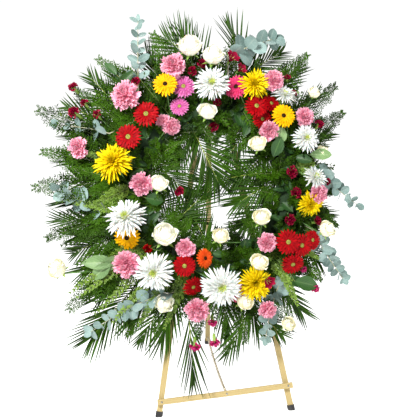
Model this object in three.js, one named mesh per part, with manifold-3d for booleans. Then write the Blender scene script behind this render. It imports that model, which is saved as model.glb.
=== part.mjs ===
// Funeral wreath on its folding wooden easel: a foam ring planted with greens and blooms,
// hung from the apex of a three-legged stand. Millimetres, +Z up, the wreath faces -Y.
import * as THREE from 'three';
import { mergeVertices } from 'three/addons/utils/BufferGeometryUtils.js';
import Module from 'manifold-3d';

const wasm = await Module();
wasm.setup();

// Easel
const LEAN = THREE.MathUtils.degToRad(15);
const FOOT_SPREAD = 219;
const APEX = 1245;
const LEG_TOP = 1222;
const LEG = 18;
const LEG_FOOT = 9;
const REAR_FOOT_BACK = 737;
const FIT = 0.3;

// Crossbar, screwed on a little crooked
const BAR_LEFT = new THREE.Vector2(-222, 48);
const BAR_RIGHT = new THREE.Vector2(224, 83);
const BAR_HEIGHT = 18;
const BAR_DEPTH = 14;
const SCREW_RADIUS = 4;
const SHANK = 1.7;
const SCREW_RIM = 1.7;
const SCREW_RISE = 1.9;
const SCREW_LONG = 26;
const SCREW_SHORT = 12;
const SCREW_PARTS = [0.032, 0.51, 0.968];

// Head block and strap hinge of the rear leg
const BLOCK_LOW = 1110;
const BLOCK_HIGH = 1196;
const BLOCK_DEPTH = 18;
const PIVOT_UP = 1186;
const PIVOT_OUT = -43.5;
const ABOVE_PIVOT = 2;
const KNUCKLE = 4;
const PIN = 1.8;
const LEAF_THICK = 1.5;
const LEAF_OUT = 4.9;
const LEAF_HALF = 24;
const LEAF_LONG = 46;
const KNUCKLE_LONG = 15;

// Rubber tips and chain
const TIP_SIZE = 23;
const TIP_HIGH = 18;
const FLOOR_WIDE = 3000;
const FLOOR_DEEP = 100;
const CHAIN_RADIUS = 1.6;
const CHAIN_SAG = 8;
const CHAIN_ACROSS = 5;
const CHAIN_LOW = 66;
const CHAIN_UP = 38;
const CHAIN_STEPS = 10;
const CHAIN_END_GAP = 0.4;

// Wreath: ring centre on the leaning frame and the ring's own sizes
const RING_ACROSS = -12;
const RING_UP = 745;
const FOAM_INNER = 212;
const FOAM_OUTER = 302;
const FOAM_BACK = 5;
const FOAM_FRONT = 58;
const FOAM_SHOULDER = 34;
const FOAM_BEVEL = 24;
const TRAY_BACK = 2.8;
const TRAY_WALL = 1.8;
const TRAY_RIM = 17;
const HOOK_UP = 285;
const PEG_RADIUS = 4;
const PEG_LENGTH = 16;
const STRAP_WIDTH = 16;
const STRAP_THICK = 2.3;
const STRAP_FOOT = 275;
const STRAP_TOP = 458;

// Planting
const TRUNK_RADIUS = 3.4;
const TRUNK_FOOT = 26;
const TRUNK_HEAD = 66;
const STEM_RADIUS = 2.2;
const NECK_OFFSET = 0.14;
const GAP = 0.6;
const BLADE = 0.8;

let seed = 7;
function random(low, high) {
  seed = (seed * 1664525 + 1013904223) % 4294967296;
  return low + (high - low) * (seed / 4294967296);
}

const at = (x, y, z) => new THREE.Vector3(x, y, z);

function material(color, roughness = 0.8, metalness = 0) {
  return new THREE.MeshStandardMaterial({ color, roughness, metalness, flatShading: true });
}

const WOOD = material('#d9bd7e', 0.6);
const RUBBER = material('#17171a', 0.75);
const STEEL = material('#b9b4a6', 0.35, 0.9);
const BRASS = material('#a98a52', 0.35, 0.9);
const PLASTIC = material('#1f5a58', 0.5);
const FOAM = material('#3c6b45', 0.95);
const PALM_GREEN = material('#2f6420');
const EUCALYPTUS = material('#83a8a0');
const CEDAR_GREEN = material('#2c6a1e');
const WHITE = material('#f5f5f0');
const IVORY = material('#f1edd9');
const YELLOW = material('#f4d20c');
const RED = material('#c80d18');
const PINK = material('#ee8fae');
const BURGUNDY = material('#7d0b25');
const MAGENTA = material('#c2185b');

// A closed mesh from one triangle soup, its equal points joined
function joined(geometry) {
  const bare = new THREE.BufferGeometry();
  bare.setAttribute('position', geometry.getAttribute('position'));
  if (geometry.index) {
    bare.setIndex(geometry.index);
  }
  return mergeVertices(bare, 1e-4);
}

function solidOf(geometry) {
  const merged = joined(geometry);
  const vertProperties = new Float32Array(merged.getAttribute('position').array);
  const triVerts = new Uint32Array(merged.index.array);
  return new wasm.Manifold(new wasm.Mesh({ numProp: 3, vertProperties, triVerts }));
}

function geometryOf(solid) {
  const mesh = solid.getMesh();
  const geometry = new THREE.BufferGeometry();
  geometry.setAttribute('position', new THREE.BufferAttribute(mesh.vertProperties, 3));
  geometry.setIndex(new THREE.BufferAttribute(mesh.triVerts, 1));
  geometry.computeVertexNormals();
  return geometry;
}

// The same surface pushed out along its normals, for the hole that it leaves in a neighbour
function swollen(geometry, gap) {
  const merged = joined(geometry);
  merged.computeVertexNormals();
  const place = merged.getAttribute('position');
  const normal = merged.getAttribute('normal');
  for (let i = 0; i < place.count; i += 1) {
    place.setXYZ(
      i,
      place.getX(i) + normal.getX(i) * gap,
      place.getY(i) + normal.getY(i) * gap,
      place.getZ(i) + normal.getZ(i) * gap,
    );
  }
  return merged;
}

function add(group, name, geometry, look) {
  const mesh = new THREE.Mesh(geometry, look.clone());
  mesh.name = name;
  group.add(mesh);
  return mesh;
}

// Skins a stack of rings, each with the same number of points, closed by a point at each end
function ringGeometry(lowPole, rings, topPole) {
  const sides = rings[0].length;
  const points = [lowPole, ...rings.flat(), topPole];
  const index = [];
  for (let side = 0; side < sides; side += 1) {
    const next = (side + 1) % sides;
    index.push(0, 1 + next, 1 + side);
    for (let ring = 0; ring < rings.length - 1; ring += 1) {
      const low = 1 + ring * sides;
      const high = low + sides;
      const rising = points[low + side].lengthSq() + points[high + next].lengthSq();
      const falling = points[low + next].lengthSq() + points[high + side].lengthSq();
      if (rising < falling) {
        index.push(low + side, low + next, high + next);
        index.push(low + side, high + next, high + side);
      } else {
        index.push(low + side, low + next, high + side);
        index.push(low + next, high + next, high + side);
      }
    }
    const last = 1 + (rings.length - 1) * sides;
    index.push(last + side, last + next, points.length - 1);
  }
  const geometry = new THREE.BufferGeometry().setFromPoints(points);
  geometry.setIndex(index);
  return geometry;
}

// A ring of points whose radius and height swing to and fro between petal tips and clefts
function petalRing(count, radius, height, swing = 0, wave = 0, turn = 0) {
  return Array.from({ length: count }, (_, i) => {
    const sign = i % 2 === 0 ? 1 : -1;
    const angle = ((i + turn) / count) * 2 * Math.PI;
    const reach = radius * (1 + sign * swing);
    return at(Math.cos(angle) * reach, Math.sin(angle) * reach, height + sign * wave);
  });
}

// A round stem through the given points, thinner towards its tip
function stem(points, radius, tipRadius = radius, sides = 4) {
  let across = at(0.31, 0.52, 0.79);
  const rings = points.map((point, i) => {
    const before = points[Math.max(i - 1, 0)];
    const after = points[Math.min(i + 1, points.length - 1)];
    const along = after.clone().sub(before).normalize();
    across = across.clone().addScaledVector(along, -across.dot(along)).normalize();
    const side = along.clone().cross(across);
    const size = THREE.MathUtils.lerp(radius, tipRadius, i / (points.length - 1));
    return Array.from({ length: sides }, (_, k) => {
      const angle = (k / sides) * 2 * Math.PI;
      return point
        .clone()
        .addScaledVector(across, Math.cos(angle) * size)
        .addScaledVector(side, Math.sin(angle) * size);
    });
  });
  return ringGeometry(points[0].clone(), rings, points[points.length - 1].clone());
}

// Flower heads, each round +Z with its middle at the origin

function gerbera(r) {
  const petals = 16;
  return ringGeometry(
    at(0, 0, -0.24 * r),
    [petalRing(petals, 0.77 * r, 0.02 * r, 0.3, -0.03 * r), petalRing(petals, 0.27 * r, 0.12 * r)],
    at(0, 0, 0.15 * r),
  );
}

function mum(r) {
  const petals = 12;
  const rings = [
    petalRing(petals, 0.68 * r, 0, 0.47, -0.1 * r),
    petalRing(petals, 0.56 * r, 0.24 * r, -0.46, 0.03 * r),
    petalRing(petals, 0.36 * r, 0.44 * r, 0.42, 0.04 * r),
  ];
  for (const point of rings.flat()) {
    const reach = random(0.9, 1.1);
    point.set(point.x * reach, point.y * reach, point.z);
  }
  return ringGeometry(at(0, 0, -0.3 * r), rings, at(0, 0, 0.4 * r));
}

function rose(r) {
  const petals = 8;
  return ringGeometry(
    at(0, 0, -0.85 * r),
    [
      petalRing(petals, 0.96 * r, 0.02 * r, 0.08, 0.1 * r),
      petalRing(petals, 0.64 * r, 0.12 * r, -0.08),
      petalRing(petals, 0.5 * r, 0.46 * r, -0.14, -0.06 * r),
    ],
    at(0, 0, 0.24 * r),
  );
}

function carnation(r) {
  const petals = 8;
  return ringGeometry(
    at(0, 0, -0.85 * r),
    [
      petalRing(petals, 0.9 * r, -0.06 * r, 0.13, 0.12 * r),
      petalRing(petals, 0.68 * r, 0.32 * r, -0.2, -0.1 * r),
      petalRing(petals, 0.34 * r, 0.5 * r, 0.25, 0.09 * r),
    ],
    at(0, 0, 0.42 * r),
  );
}

function bud(r) {
  const petals = 6;
  return ringGeometry(
    at(0, 0, -1.5 * r),
    [
      petalRing(petals, 0.92 * r, 0, 0.14, 0.12 * r),
      petalRing(petals, 0.5 * r, 0.36 * r, -0.2, -0.1 * r),
    ],
    at(0, 0, 0.25 * r),
  );
}

function lily(r) {
  const petals = 8;
  return ringGeometry(
    at(0, 0, -1.1 * r),
    [petalRing(petals, 0.78 * r, 0.1 * r, 0.3, 0.1 * r), petalRing(petals, 0.3 * r, -0.1 * r)],
    at(0, 0, 0.1 * r),
  );
}

// Each head, its depth below its middle as a part of its radius, and the plain room that it
// fills: [radius, height] from its lowest point to its highest
const HEADS = {
  gerbera: { shape: gerbera, depth: 0.24, room: [[0, -0.3], [1.12, -0.05], [1.12, 0.1], [0, 0.28]] },
  mum: { shape: mum, depth: 0.3, room: [[0, -0.36], [1.2, -0.1], [1, 0.32], [0, 0.75]] },
  rose: { shape: rose, depth: 0.85, room: [[0, -0.95], [1.2, 0], [1.18, 0.2], [0, 0.9]] },
  carnation: { shape: carnation, depth: 0.85, room: [[0, -1], [1.2, 0], [1.05, 0.45], [0, 0.85]] },
  bud: { shape: bud, depth: 1.5, room: [[0, -1.65], [1.3, 0.12], [0, 1.05]] },
  lily: { shape: lily, depth: 1.1, room: [[0, -1.25], [1.22, 0.22], [0, 0.6]] },
};
const ROOM_SIDES = 8;

function roomOf(profile, r) {
  const [low, high] = [profile[0], profile[profile.length - 1]];
  const between = profile.slice(1, -1);
  const rings = between.map(([radius, height]) => petalRing(ROOM_SIDES, radius * r, height * r));
  return ringGeometry(at(0, 0, low[1] * r), rings, at(0, 0, high[1] * r));
}

// A part of a node, with the room that it takes from whatever is planted later
function piece(shape, room = swollen(shape, GAP)) {
  return { shape, room };
}

// A head at its place, facing (leanX, leanY, 1), on a stem from its bunch's trunk
function bloom(root, [kind, x, y, z, r, leanX = 0, leanY = 0]) {
  const { shape, depth, room } = HEADS[kind];
  const facing = at(leanX + x / 1500, leanY + y / 1500, 1).normalize();
  const head = shape(r);
  const clear = roomOf(room, r);
  head.rotateZ(random(0, Math.PI));
  for (const geometry of [head, clear]) {
    geometry.applyQuaternion(new THREE.Quaternion().setFromUnitVectors(at(0, 0, 1), facing));
    geometry.translate(x, y, z);
  }
  const neck = at(x, y, z).addScaledVector(facing, -depth * r * 0.6);
  neck.x += NECK_OFFSET * r;
  return [piece(head, clear), piece(stem([root, neck], STEM_RADIUS, STEM_RADIUS, 3))];
}

// What is already planted, which whatever comes later is cut clear of
const wreath = new THREE.Group();
const planted = [];

function overlap(a, b) {
  return [0, 1, 2].every((k) => a.min[k] < b.max[k] && b.min[k] < a.max[k]);
}

function largest(solid) {
  const pieces = solid.decompose();
  pieces.sort((a, b) => b.volume() - a.volume());
  return pieces[0];
}

function plant(name, look, pieces) {
  let solid = wasm.Manifold.union(pieces.map(({ shape }) => solidOf(shape)));
  const box = solid.boundingBox();
  for (const other of planted) {
    if (overlap(box, other.box)) {
      solid = solid.subtract(other.room);
    }
  }
  for (const { room } of pieces) {
    const solidRoom = solidOf(room);
    planted.push({ room: solidRoom, box: solidRoom.boundingBox() });
  }
  add(wreath, name, geometryOf(largest(solid)), look);
}

// A bunch: one trunk in the foam, its head at the given height, and a stem to each bloom
function bunch(name, look, [x, y, top = TRUNK_HEAD], heads) {
  const root = at(x, y, top);
  const trunk = stem([at(x, y, TRUNK_FOOT), at(x, y, top + 2)], TRUNK_RADIUS, TRUNK_RADIUS, 3);
  plant(name, look, [piece(trunk), ...heads.flatMap((head) => bloom(root, head))]);
}

// Blooms, from the front of the wreath to the back: kind, across, up, out, radius and lean

bunch('white_blooms_lower_left', WHITE, [-110, -245], [
  ['mum', 5, -330, 130, 64],
  ['mum', -210, -275, 130, 64],
  ['rose', -180, -375, 86, 38, 0, -0.5],
  ['rose', -525, -250, 62, 32, -1.1, 0.5],
]);
bunch('yellow_gerbera_top_left', YELLOW, [-130, 228], [['gerbera', -150, 330, 120, 44]]);
bunch('yellow_blooms_upper_right', YELLOW, [180, 195], [
  ['gerbera', 230, 215, 125, 43],
  ['mum', 140, 325, 118, 44],
]);
bunch('yellow_blooms_left', YELLOW, [-262, -10], [
  ['mum', -325, 80, 120, 64, -0.1, 0.3],
  ['gerbera', -290, -160, 92, 46, 0, -0.3],
]);
bunch('red_gerberas_left', RED, [-205, 165], [
  ['gerbera', -215, 235, 116, 46],
  ['gerbera', -275, 160, 130, 46],
]);
bunch('red_gerberas_right', RED, [225, -145], [
  ['gerbera', 225, -195, 130, 45],
  ['gerbera', 272, -207, 108, 42, 0.2, 0],
  ['gerbera', 312, -190, 84, 36, 0.4, 0.1],
  ['gerbera', 242, -266, 96, 42, 0, -0.6],
]);
bunch('white_blooms_top', WHITE, [-30, 268], [
  ['mum', 0, 325, 132, 54],
  ['rose', -65, 460, 104, 43, -0.1, 0.3],
  ['rose', 10, 425, 112, 39, 0.1, 0.2],
  ['rose', -15, 240, 108, 36, 0.1, -0.1],
]);
bunch('white_and_cream_roses_low', IVORY, [135, -192], [
  ['rose', 130, -255, 122, 36],
  ['rose', 145, -110, 110, 36, -0.2, 0.2],
  ['rose', 10, -165, 102, 34, 0, 0.5],
  ['rose', 80, -380, 100, 34, 0, -0.5],
]);
bunch('white_blooms_left', WHITE, [-232, -70], [
  ['rose', -170, -155, 116, 42, 0.1, 0.1],
  ['rose', -180, 10, 110, 35, 0.3, 0.4],
  ['mum', -290, -100, 124, 56, -0.1, 0.6],
]);
bunch('white_mums_right', WHITE, [262, 75], [
  ['mum', 300, 140, 118, 46],
  ['mum', 325, 10, 106, 45, 0.1, 0.4],
  ['mum', 240, 285, 100, 42, 0, 0.7],
]);
bunch('red_gerberas_upper_right', RED, [150, 185], [
  ['gerbera', 145, 252, 112, 42],
  ['gerbera', 196, 262, 96, 36, 0.4, 0.3],
  ['gerbera', 165, 212, 92, 36, 0, -0.2],
]);
bunch('red_gerberas_bottom', RED, [-75, -232], [
  ['gerbera', -110, -258, 112, 40],
  ['gerbera', -84, -326, 98, 38, 0.4, -0.5],
  ['gerbera', -42, -236, 96, 36, 0.8, 0.2],
  ['bud', -225, -200, 104, 17],
]);
bunch('pink_blooms_top', PINK, [-100, 272], [
  ['carnation', -120, 395, 112, 40],
  ['gerbera', -90, 325, 100, 42],
  ['gerbera', -105, 262, 88, 34],
  ['carnation', -160, 215, 84, 24],
]);
bunch('pink_carnations_left', PINK, [-228, 85], [
  ['carnation', -280, 300, 118, 45],
  ['carnation', -240, 10, 108, 36, -0.1, -0.2],
  ['carnation', -440, 135, 92, 33, -0.6, -0.2],
  ['carnation', -130, 195, 88, 28, 0.5, -0.4],
]);
bunch('pink_blooms_upper_right', PINK, [130, 215], [
  ['carnation', 206, 338, 112, 34],
  ['carnation', 305, 215, 104, 30],
  ['carnation', 185, 168, 104, 32, 0, -0.6],
  ['gerbera', 82, 318, 110, 38],
]);
bunch('pink_carnations_lower_left', PINK, [-150, -205], [
  ['carnation', -296, -248, 108, 43],
  ['carnation', -105, -203, 122, 30],
]);
bunch('pink_blooms_bottom', MAGENTA, [60, -262], [
  ['gerbera', 58, -350, 92, 36],
  ['lily', 152, -318, 146, 26, 0.4, -0.3],
  ['carnation', 160, -195, 114, 30],
  ['carnation', 155, -412, 92, 29, 0.2, -0.3],
  ['carnation', -75, -402, 106, 38],
  ['bud', -85, -520, 72, 20, -0.1, -2],
  ['bud', -20, -510, 72, 19, 0.1, -2],
  ['bud', -25, -445, 78, 18, 0, -1.5],
]);
bunch('yellow_mum_bottom', YELLOW, [105, -238], [['mum', 115, -322, 112, 56]]);
bunch('pink_blooms_right', MAGENTA, [268, -48], [
  ['carnation', 340, -40, 106, 30, 0.3, 0],
  ['bud', 320, -350, 62, 16, 0.4, -1],
  ['bud', 282, -285, 72, 13, 0.2, -0.5],
]);
bunch('burgundy_blooms_left', BURGUNDY, [-250, 120], [
  ['bud', -450, 340, 70, 19, -0.5, 0.9],
  ['bud', -450, 255, 80, 23, -0.6, 0.5],
  ['bud', -375, 245, 86, 17, -0.3, 0.5],
  ['bud', -415, 285, 80, 13, -0.2, 0.7],
  ['bud', -245, 345, 112, 16, 0, 0.5],
  ['bud', -115, -15, 80, 17, 0.5, -0.2],
]);
bunch('burgundy_blooms_top', BURGUNDY, [40, 248], [
  ['bud', -25, 402, 92, 17, 0.2, 0],
  ['bud', -58, 378, 96, 17],
  ['bud', 20, 272, 88, 15],
  ['bud', 5, 196, 72, 18, 0, -0.3],
  ['lily', 72, 414, 100, 27, -0.1, 0.5],
  ['lily', 100, 378, 92, 22, 0.3, 0],
]);
bunch('burgundy_blooms_right', BURGUNDY, [272, 8, 62], [
  ['bud', 255, 35, 96, 21],
  ['bud', 265, -35, 96, 20],
  ['bud', 240, -122, 92, 20, 0, -0.3],
  ['bud', 332, -128, 88, 17, 0.4, 0.3],
  ['bud', 374, 0, 78, 13, 0.5, 0],
  ['bud', 356, 192, 84, 18, 0.4, 0.5],
  ['bud', 275, 298, 76, 14, 0.2, 0.6],
  ['bud', 258, 354, 74, 12, 0, 0.8],
]);
bunch('yellow_mum_right', YELLOW, [272, -85], [['mum', 310, -74, 90, 43, 0.1, -0.3]]);
bunch('white_roses_right', IVORY, [225, 120, 78], [
  ['rose', 145, 130, 110, 34, -0.4, 0.1],
  ['rose', 345, 300, 70, 26, 0.3, 0.8],
  ['rose', 362, 98, 82, 27, 0.8, 0],
]);
bunch('white_roses_lower_right', IVORY, [250, -112], [
  ['rose', 362, -155, 86, 34, 0.6, 0.1],
  ['rose', 225, -460, 60, 29, 0.1, -0.5],
]);

// A thin arched frond with its leaflets cut to the rib, from its base to its tip; round is a
// leaflet's half width as a part of its length, 0 for a pointed one
const FROND = { pairs: 5, reach: 80, open: 1, close: 0.35, round: 0, arch: 0.03, cup: 0.04 };

function frond(base, tip, options) {
  const { pairs, reach, open, close, round, arch, cup } = { ...FROND, ...options };
  const along = tip.clone().sub(base);
  const length = along.length();
  const step = (0.9 * length) / pairs;
  const rib = 1.8;
  const right = [];
  for (let i = 0; i < pairs; i += 1) {
    const part = i / (pairs - 1);
    const angle = THREE.MathUtils.lerp(open, close, part);
    const leaflet = reach * (1 - 0.55 * part) * random(0.88, 1.08);
    const root = 0.04 * length + i * step;
    const out = new THREE.Vector2(Math.sin(angle), Math.cos(angle)).multiplyScalar(leaflet);
    const wide = new THREE.Vector2(out.y, -out.x).multiplyScalar(round);
    const start = new THREE.Vector2(rib, root);
    right.push(start);
    if (round > 0) {
      right.push(start.clone().addScaledVector(out, 0.5).add(wide));
    }
    right.push(start.clone().add(out));
    if (round > 0) {
      right.push(start.clone().addScaledVector(out, 0.6).sub(wide));
    }
  }
  const left = right.map((point) => new THREE.Vector2(-point.x, point.y)).reverse();
  const outline = new THREE.Shape([
    new THREE.Vector2(rib, 0),
    ...right,
    new THREE.Vector2(0, length),
    ...left,
    new THREE.Vector2(-rib, 0),
  ]);
  const blade = new THREE.ExtrudeGeometry(outline, { depth: BLADE, bevelEnabled: false, steps: 1 });
  const place = blade.getAttribute('position');
  for (let i = 0; i < place.count; i += 1) {
    const part = place.getY(i) / length;
    const rise = 4 * arch * length * part * (1 - part) + cup * Math.abs(place.getX(i));
    place.setZ(i, place.getZ(i) + rise);
  }
  const up = along.normalize();
  const face = at(0, 0, 1).addScaledVector(up, -up.z).normalize();
  blade.applyMatrix4(new THREE.Matrix4().makeBasis(up.clone().cross(face), up, face));
  blade.translate(base.x, base.y, base.z);
  return blade;
}

// A frond with the stalk that carries it from its root
function stalked(root, base, tip, options) {
  const inside = base.clone().lerp(tip, 0.05);
  inside.z += 0.4;
  return [piece(stem([root, inside], 2.2, 1.5, 3)), piece(frond(base, tip, options))];
}

// A leaf as a thin lens, its stalk end at its base
function leaf(base, tip, width, facing = at(0, 0, 1), sides = 6) {
  const along = tip.clone().sub(base);
  const length = along.length();
  along.normalize();
  const face = facing.clone().addScaledVector(along, -along.dot(facing)).normalize();
  const across = along.clone().cross(face);
  const rim = Array.from({ length: sides }, (_, i) => {
    const angle = (i / sides + 0.25) * 2 * Math.PI;
    return at(Math.cos(angle) * width * 0.5, Math.sin(angle) * length * 0.5, 0);
  });
  const hollow = 0.05 * width;
  const lens = ringGeometry(at(0, 0, -hollow - 0.9), [rim], at(0, 0, 0.7 - hollow));
  lens.applyMatrix4(new THREE.Matrix4().makeBasis(across, along, face));
  const middle = base.clone().lerp(tip, 0.5);
  lens.translate(middle.x, middle.y, middle.z);
  return lens;
}

// A sprig of round eucalyptus leaves
const SPRIG = { pairs: 5, reach: 42, open: 1.15, close: 0.75, round: 0.36, arch: 0.02, cup: 0.06 };

function twig(points, radius = 2.4) {
  return piece(stem(points, radius, radius * 0.8, 3));
}

// Eucalyptus sprigs, in the gaps between the blooms

plant('eucalyptus_top_left', EUCALYPTUS, [
  twig([at(-232, 185, 30), at(-240, 230, 64), at(-236, 345, 68)]),
  piece(frond(at(-236, 335, 68), at(-229, 555, 58), SPRIG)),
  twig([at(-240, 228, 63), at(-335, 182, 68)]),
  piece(frond(at(-325, 186, 67), at(-505, 216, 62), { ...SPRIG, pairs: 4 })),
]);
plant('eucalyptus_top', EUCALYPTUS, [
  twig([at(60, 262, 30), at(60, 300, 66), at(62, 430, 72)]),
  piece(frond(at(62, 420, 72), at(228, 486, 60), { ...SPRIG, pairs: 4, arch: 0.05 })),
]);
plant('eucalyptus_left', EUCALYPTUS, [
  twig([at(-262, -62, 30), at(-300, -70, 64), at(-330, -84, 66)]),
  piece(frond(at(-322, -80, 65), at(-508, 8, 60), SPRIG)),
]);
plant('eucalyptus_lower_left', EUCALYPTUS, [
  twig([at(-128, -240, 30), at(-138, -290, 68), at(-142, -340, 74)]),
  piece(frond(at(-141, -330, 73), at(-415, -456, 58), { ...SPRIG, pairs: 7 })),
]);
plant('eucalyptus_right', EUCALYPTUS, [
  twig([at(278, 52, 30), at(326, 70, 62)]),
  piece(frond(at(318, 67, 57), at(475, -78, 54), SPRIG)),
]);
plant('eucalyptus_lower_right', EUCALYPTUS, [
  twig([at(268, -120, 30), at(322, -158, 62)]),
  piece(frond(at(314, -152, 58), at(414, -320, 56), { ...SPRIG, pairs: 4 })),
  twig([at(272, -124, 34), at(212, -300, 74)]),
  piece(frond(at(213, -292, 73), at(146, -502, 72), SPRIG)),
]);

// Areca palm fronds, lowest on the foam's wall: some cross the opening, the others fan out

plant('palm_fronds_top', PALM_GREEN, [
  twig([at(40, 286, 26), at(42, 306, 28)], 2.6),
  ...stalked(at(42, 306, 28), at(-15, 395, 30), at(-185, 520, 28), {
    reach: 112, open: 1.25, close: 0.4,
  }),
  ...stalked(at(42, 306, 28), at(112, 400, 38), at(66, 560, 34), { reach: 84, open: 0.5, close: 0.12 }),
  ...stalked(at(42, 306, 28), at(140, 385, 24), at(285, 468, 22), { reach: 66, open: 0.7, close: 0.3 }),
  ...stalked(at(42, 306, 28), at(240, 318, 26), at(335, 420, 24), { reach: 60, open: 0.65 }),
]);
plant('palm_fronds_left_high', PALM_GREEN, [
  twig([at(-232, 178, 28), at(-246, 190, 29)], 2.6),
  ...stalked(at(-246, 190, 29), at(-315, 285, 36), at(-420, 410, 32), { reach: 50, open: 0.6 }),
  ...stalked(at(-246, 190, 29), at(-375, 240, 26), at(-505, 296, 24), { reach: 56, open: 0.55 }),
]);
plant('palm_fronds_left_low', PALM_GREEN, [
  twig([at(-275, -100, 28), at(-292, -106, 29)], 2.6),
  ...stalked(at(-292, -106, 29), at(-360, -108, 36), at(-560, -86, 32), {
    reach: 60, open: 0.5, close: 0.2,
  }),
  ...stalked(at(-292, -106, 29), at(-370, -160, 26), at(-500, -215, 22), { reach: 56, open: 0.6 }),
]);
plant('palm_fronds_lower_left', PALM_GREEN, [
  twig([at(-215, -195, 28), at(-229, -208, 29)], 2.6),
  ...stalked(at(-229, -208, 29), at(-262, -310, 30), at(-450, -520, 26), {
    reach: 100, open: 0.85, close: 0.25,
  }),
  ...stalked(at(-229, -208, 29), at(-305, -275, 20), at(-465, -335, 16), { reach: 62, open: 0.6 }),
  ...stalked(at(-229, -208, 29), at(-195, -395, 40), at(-280, -525, 36), {
    reach: 76, open: 0.5, close: 0.15,
  }),
]);
plant('palm_fronds_bottom', PALM_GREEN, [
  twig([at(-50, -284, 28), at(-54, -304, 29)], 2.6),
  ...stalked(at(-54, -304, 29), at(-98, -430, 30), at(-88, -690, 26), {
    reach: 112, open: 0.3, close: 0.08,
  }),
  ...stalked(at(-54, -304, 29), at(100, -410, 38), at(-5, -592, 34), {
    reach: 80, open: 0.4, close: 0.12,
  }),
  ...stalked(at(-54, -304, 29), at(110, -400, 22), at(240, -525, 18), {
    reach: 66, open: 0.6, close: 0.25,
  }),
]);
plant('palm_frond_inner_high', PALM_GREEN, [
  ...stalked(at(-95, 240, 40), at(-62, 188, 50), at(48, -58, 40), {
    pairs: 8, reach: 112, open: 0.85, close: 0.3,
  }),
]);
plant('palm_frond_inner_right', PALM_GREEN, [
  ...stalked(at(236, 62, 30), at(184, 44, 30), at(-130, 4, 20), {
    pairs: 8, reach: 70, open: 1.1, close: 0.5, arch: 0,
  }),
]);
plant('palm_frond_inner_low', PALM_GREEN, [
  ...stalked(at(-238, -2, 25), at(-190, -30, 24), at(-8, -150, 10), {
    reach: 62, open: 0.8, close: 0.4, arch: 0,
  }),
]);

// A garland of cedar along the foam's outer wall, with sprays on it and a peg in the foam
const GARLAND_RADIUS = 310;
const GARLAND_OUT = 50;
const CEDAR = { pairs: 3, reach: 46, open: 0.85, close: 0.45, arch: 0.02 };

function onRing(degrees, radius, out) {
  const angle = THREE.MathUtils.degToRad(degrees);
  return at(Math.cos(angle) * radius, Math.sin(angle) * radius, out);
}

function garland(name, from, to, sprays, leaves = []) {
  const middle = (from + to) / 2;
  const turns = [from, middle, to, ...sprays.map(([turn]) => turn), ...leaves.map(([turn]) => turn)];
  turns.sort((a, b) => a - b);
  const arc = turns.map((turn) => onRing(turn, GARLAND_RADIUS, GARLAND_OUT));
  const peg = [onRing(middle, GARLAND_RADIUS, GARLAND_OUT), onRing(middle, 280, GARLAND_OUT - 8)];
  const parts = [piece(stem(arc, 2.8, 2.4)), piece(stem(peg, 2.8, 2.8, 3))];
  for (const [degrees, x, y, z, reach = CEDAR.reach] of sprays) {
    const root = onRing(degrees, GARLAND_RADIUS, GARLAND_OUT);
    const tip = at(x, y, z);
    parts.push(piece(frond(root, tip, { ...CEDAR, reach })));
  }
  for (const [degrees, x, y, z, length, width, turn] of leaves) {
    const root = onRing(degrees, GARLAND_RADIUS, GARLAND_OUT);
    const base = at(x, y, z);
    const tip = base.clone().add(at(Math.cos(turn) * length, Math.sin(turn) * length, 2));
    parts.push(twig([root, base.clone().lerp(tip, 0.2)], 1.8));
    parts.push(piece(leaf(base, tip, width, at(0.1, 0.1, 1), 8)));
  }
  plant(name, CEDAR_GREEN, parts);
}

garland('cedar_garland_left', 100, 196, [
  [104, -180, 510, 50],
  [124, -360, 430, 50],
  [144, -440, 330, 52],
  [156, -560, 268, 52],
  [165, -552, 130, 52],
  [175, -580, 16, 50],
  [183, -205, 40, 68, 36],
  [192, -545, -150, 50],
], [
  [122, -300, 370, 74, 55, 24, 2.3],
]);
garland('cedar_garland_lower_left', 203, 262, [
  [212, -480, -380, 48],
  [226, -205, -110, 66, 36],
  [240, -300, -470, 46],
  [256, -70, -490, 50],
], [
  [206, -385, -236, 92, 112, 50, 3.1],
  [210, -345, -242, 94, 62, 42, 4],
]);
garland('cedar_garland_lower_right', 278, 334, [
  [282, 78, -510, 48],
  [292, 60, -205, 66, 36],
  [302, 232, -475, 48],
  [320, 340, -320, 46],
], [
  [312, 252, -322, 74, 70, 38, -0.1],
]);
garland('cedar_garland_right', -22, 84, [
  [-14, 404, -145, 52],
  [-4, 412, -30, 46],
  [6, 205, 10, 66, 36],
  [22, 440, 232, 48],
  [38, 420, 322, 48],
  [58, 330, 430, 46],
  [80, 95, 500, 48],
], [
  [14, 350, 88, 104, 72, 40, 3.05],
  [41, 222, 152, 96, 62, 42, -1.8],
]);

// The foam ring, with a plain hole for every stem that stands in it, in its plastic tray

const RING_SEGMENTS = 24;

function ring(profile) {
  const points = profile.map(([radius, out]) => new THREE.Vector2(radius, out));
  const lathe = new THREE.LatheGeometry([...points, points[0]], RING_SEGMENTS);
  lathe.rotateX(Math.PI / 2);
  return solidOf(lathe);
}

function rod(radius, from, to, sides = 8) {
  return stem([from, to], radius, radius, sides);
}

const foamInside = FOAM_INNER + TRAY_WALL + FIT;
const foamOutside = FOAM_OUTER - TRAY_WALL - FIT;
const pegFoot = at(-RING_ACROSS, HOOK_UP, STRAP_THICK);
const pegEnd = at(-RING_ACROSS, HOOK_UP, PEG_LENGTH);
const pegHoleEnd = pegEnd.clone().setZ(PEG_LENGTH + FIT);
const pegHole = solidOf(rod(PEG_RADIUS + FIT, at(-RING_ACROSS, HOOK_UP, 0), pegHoleEnd));

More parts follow.
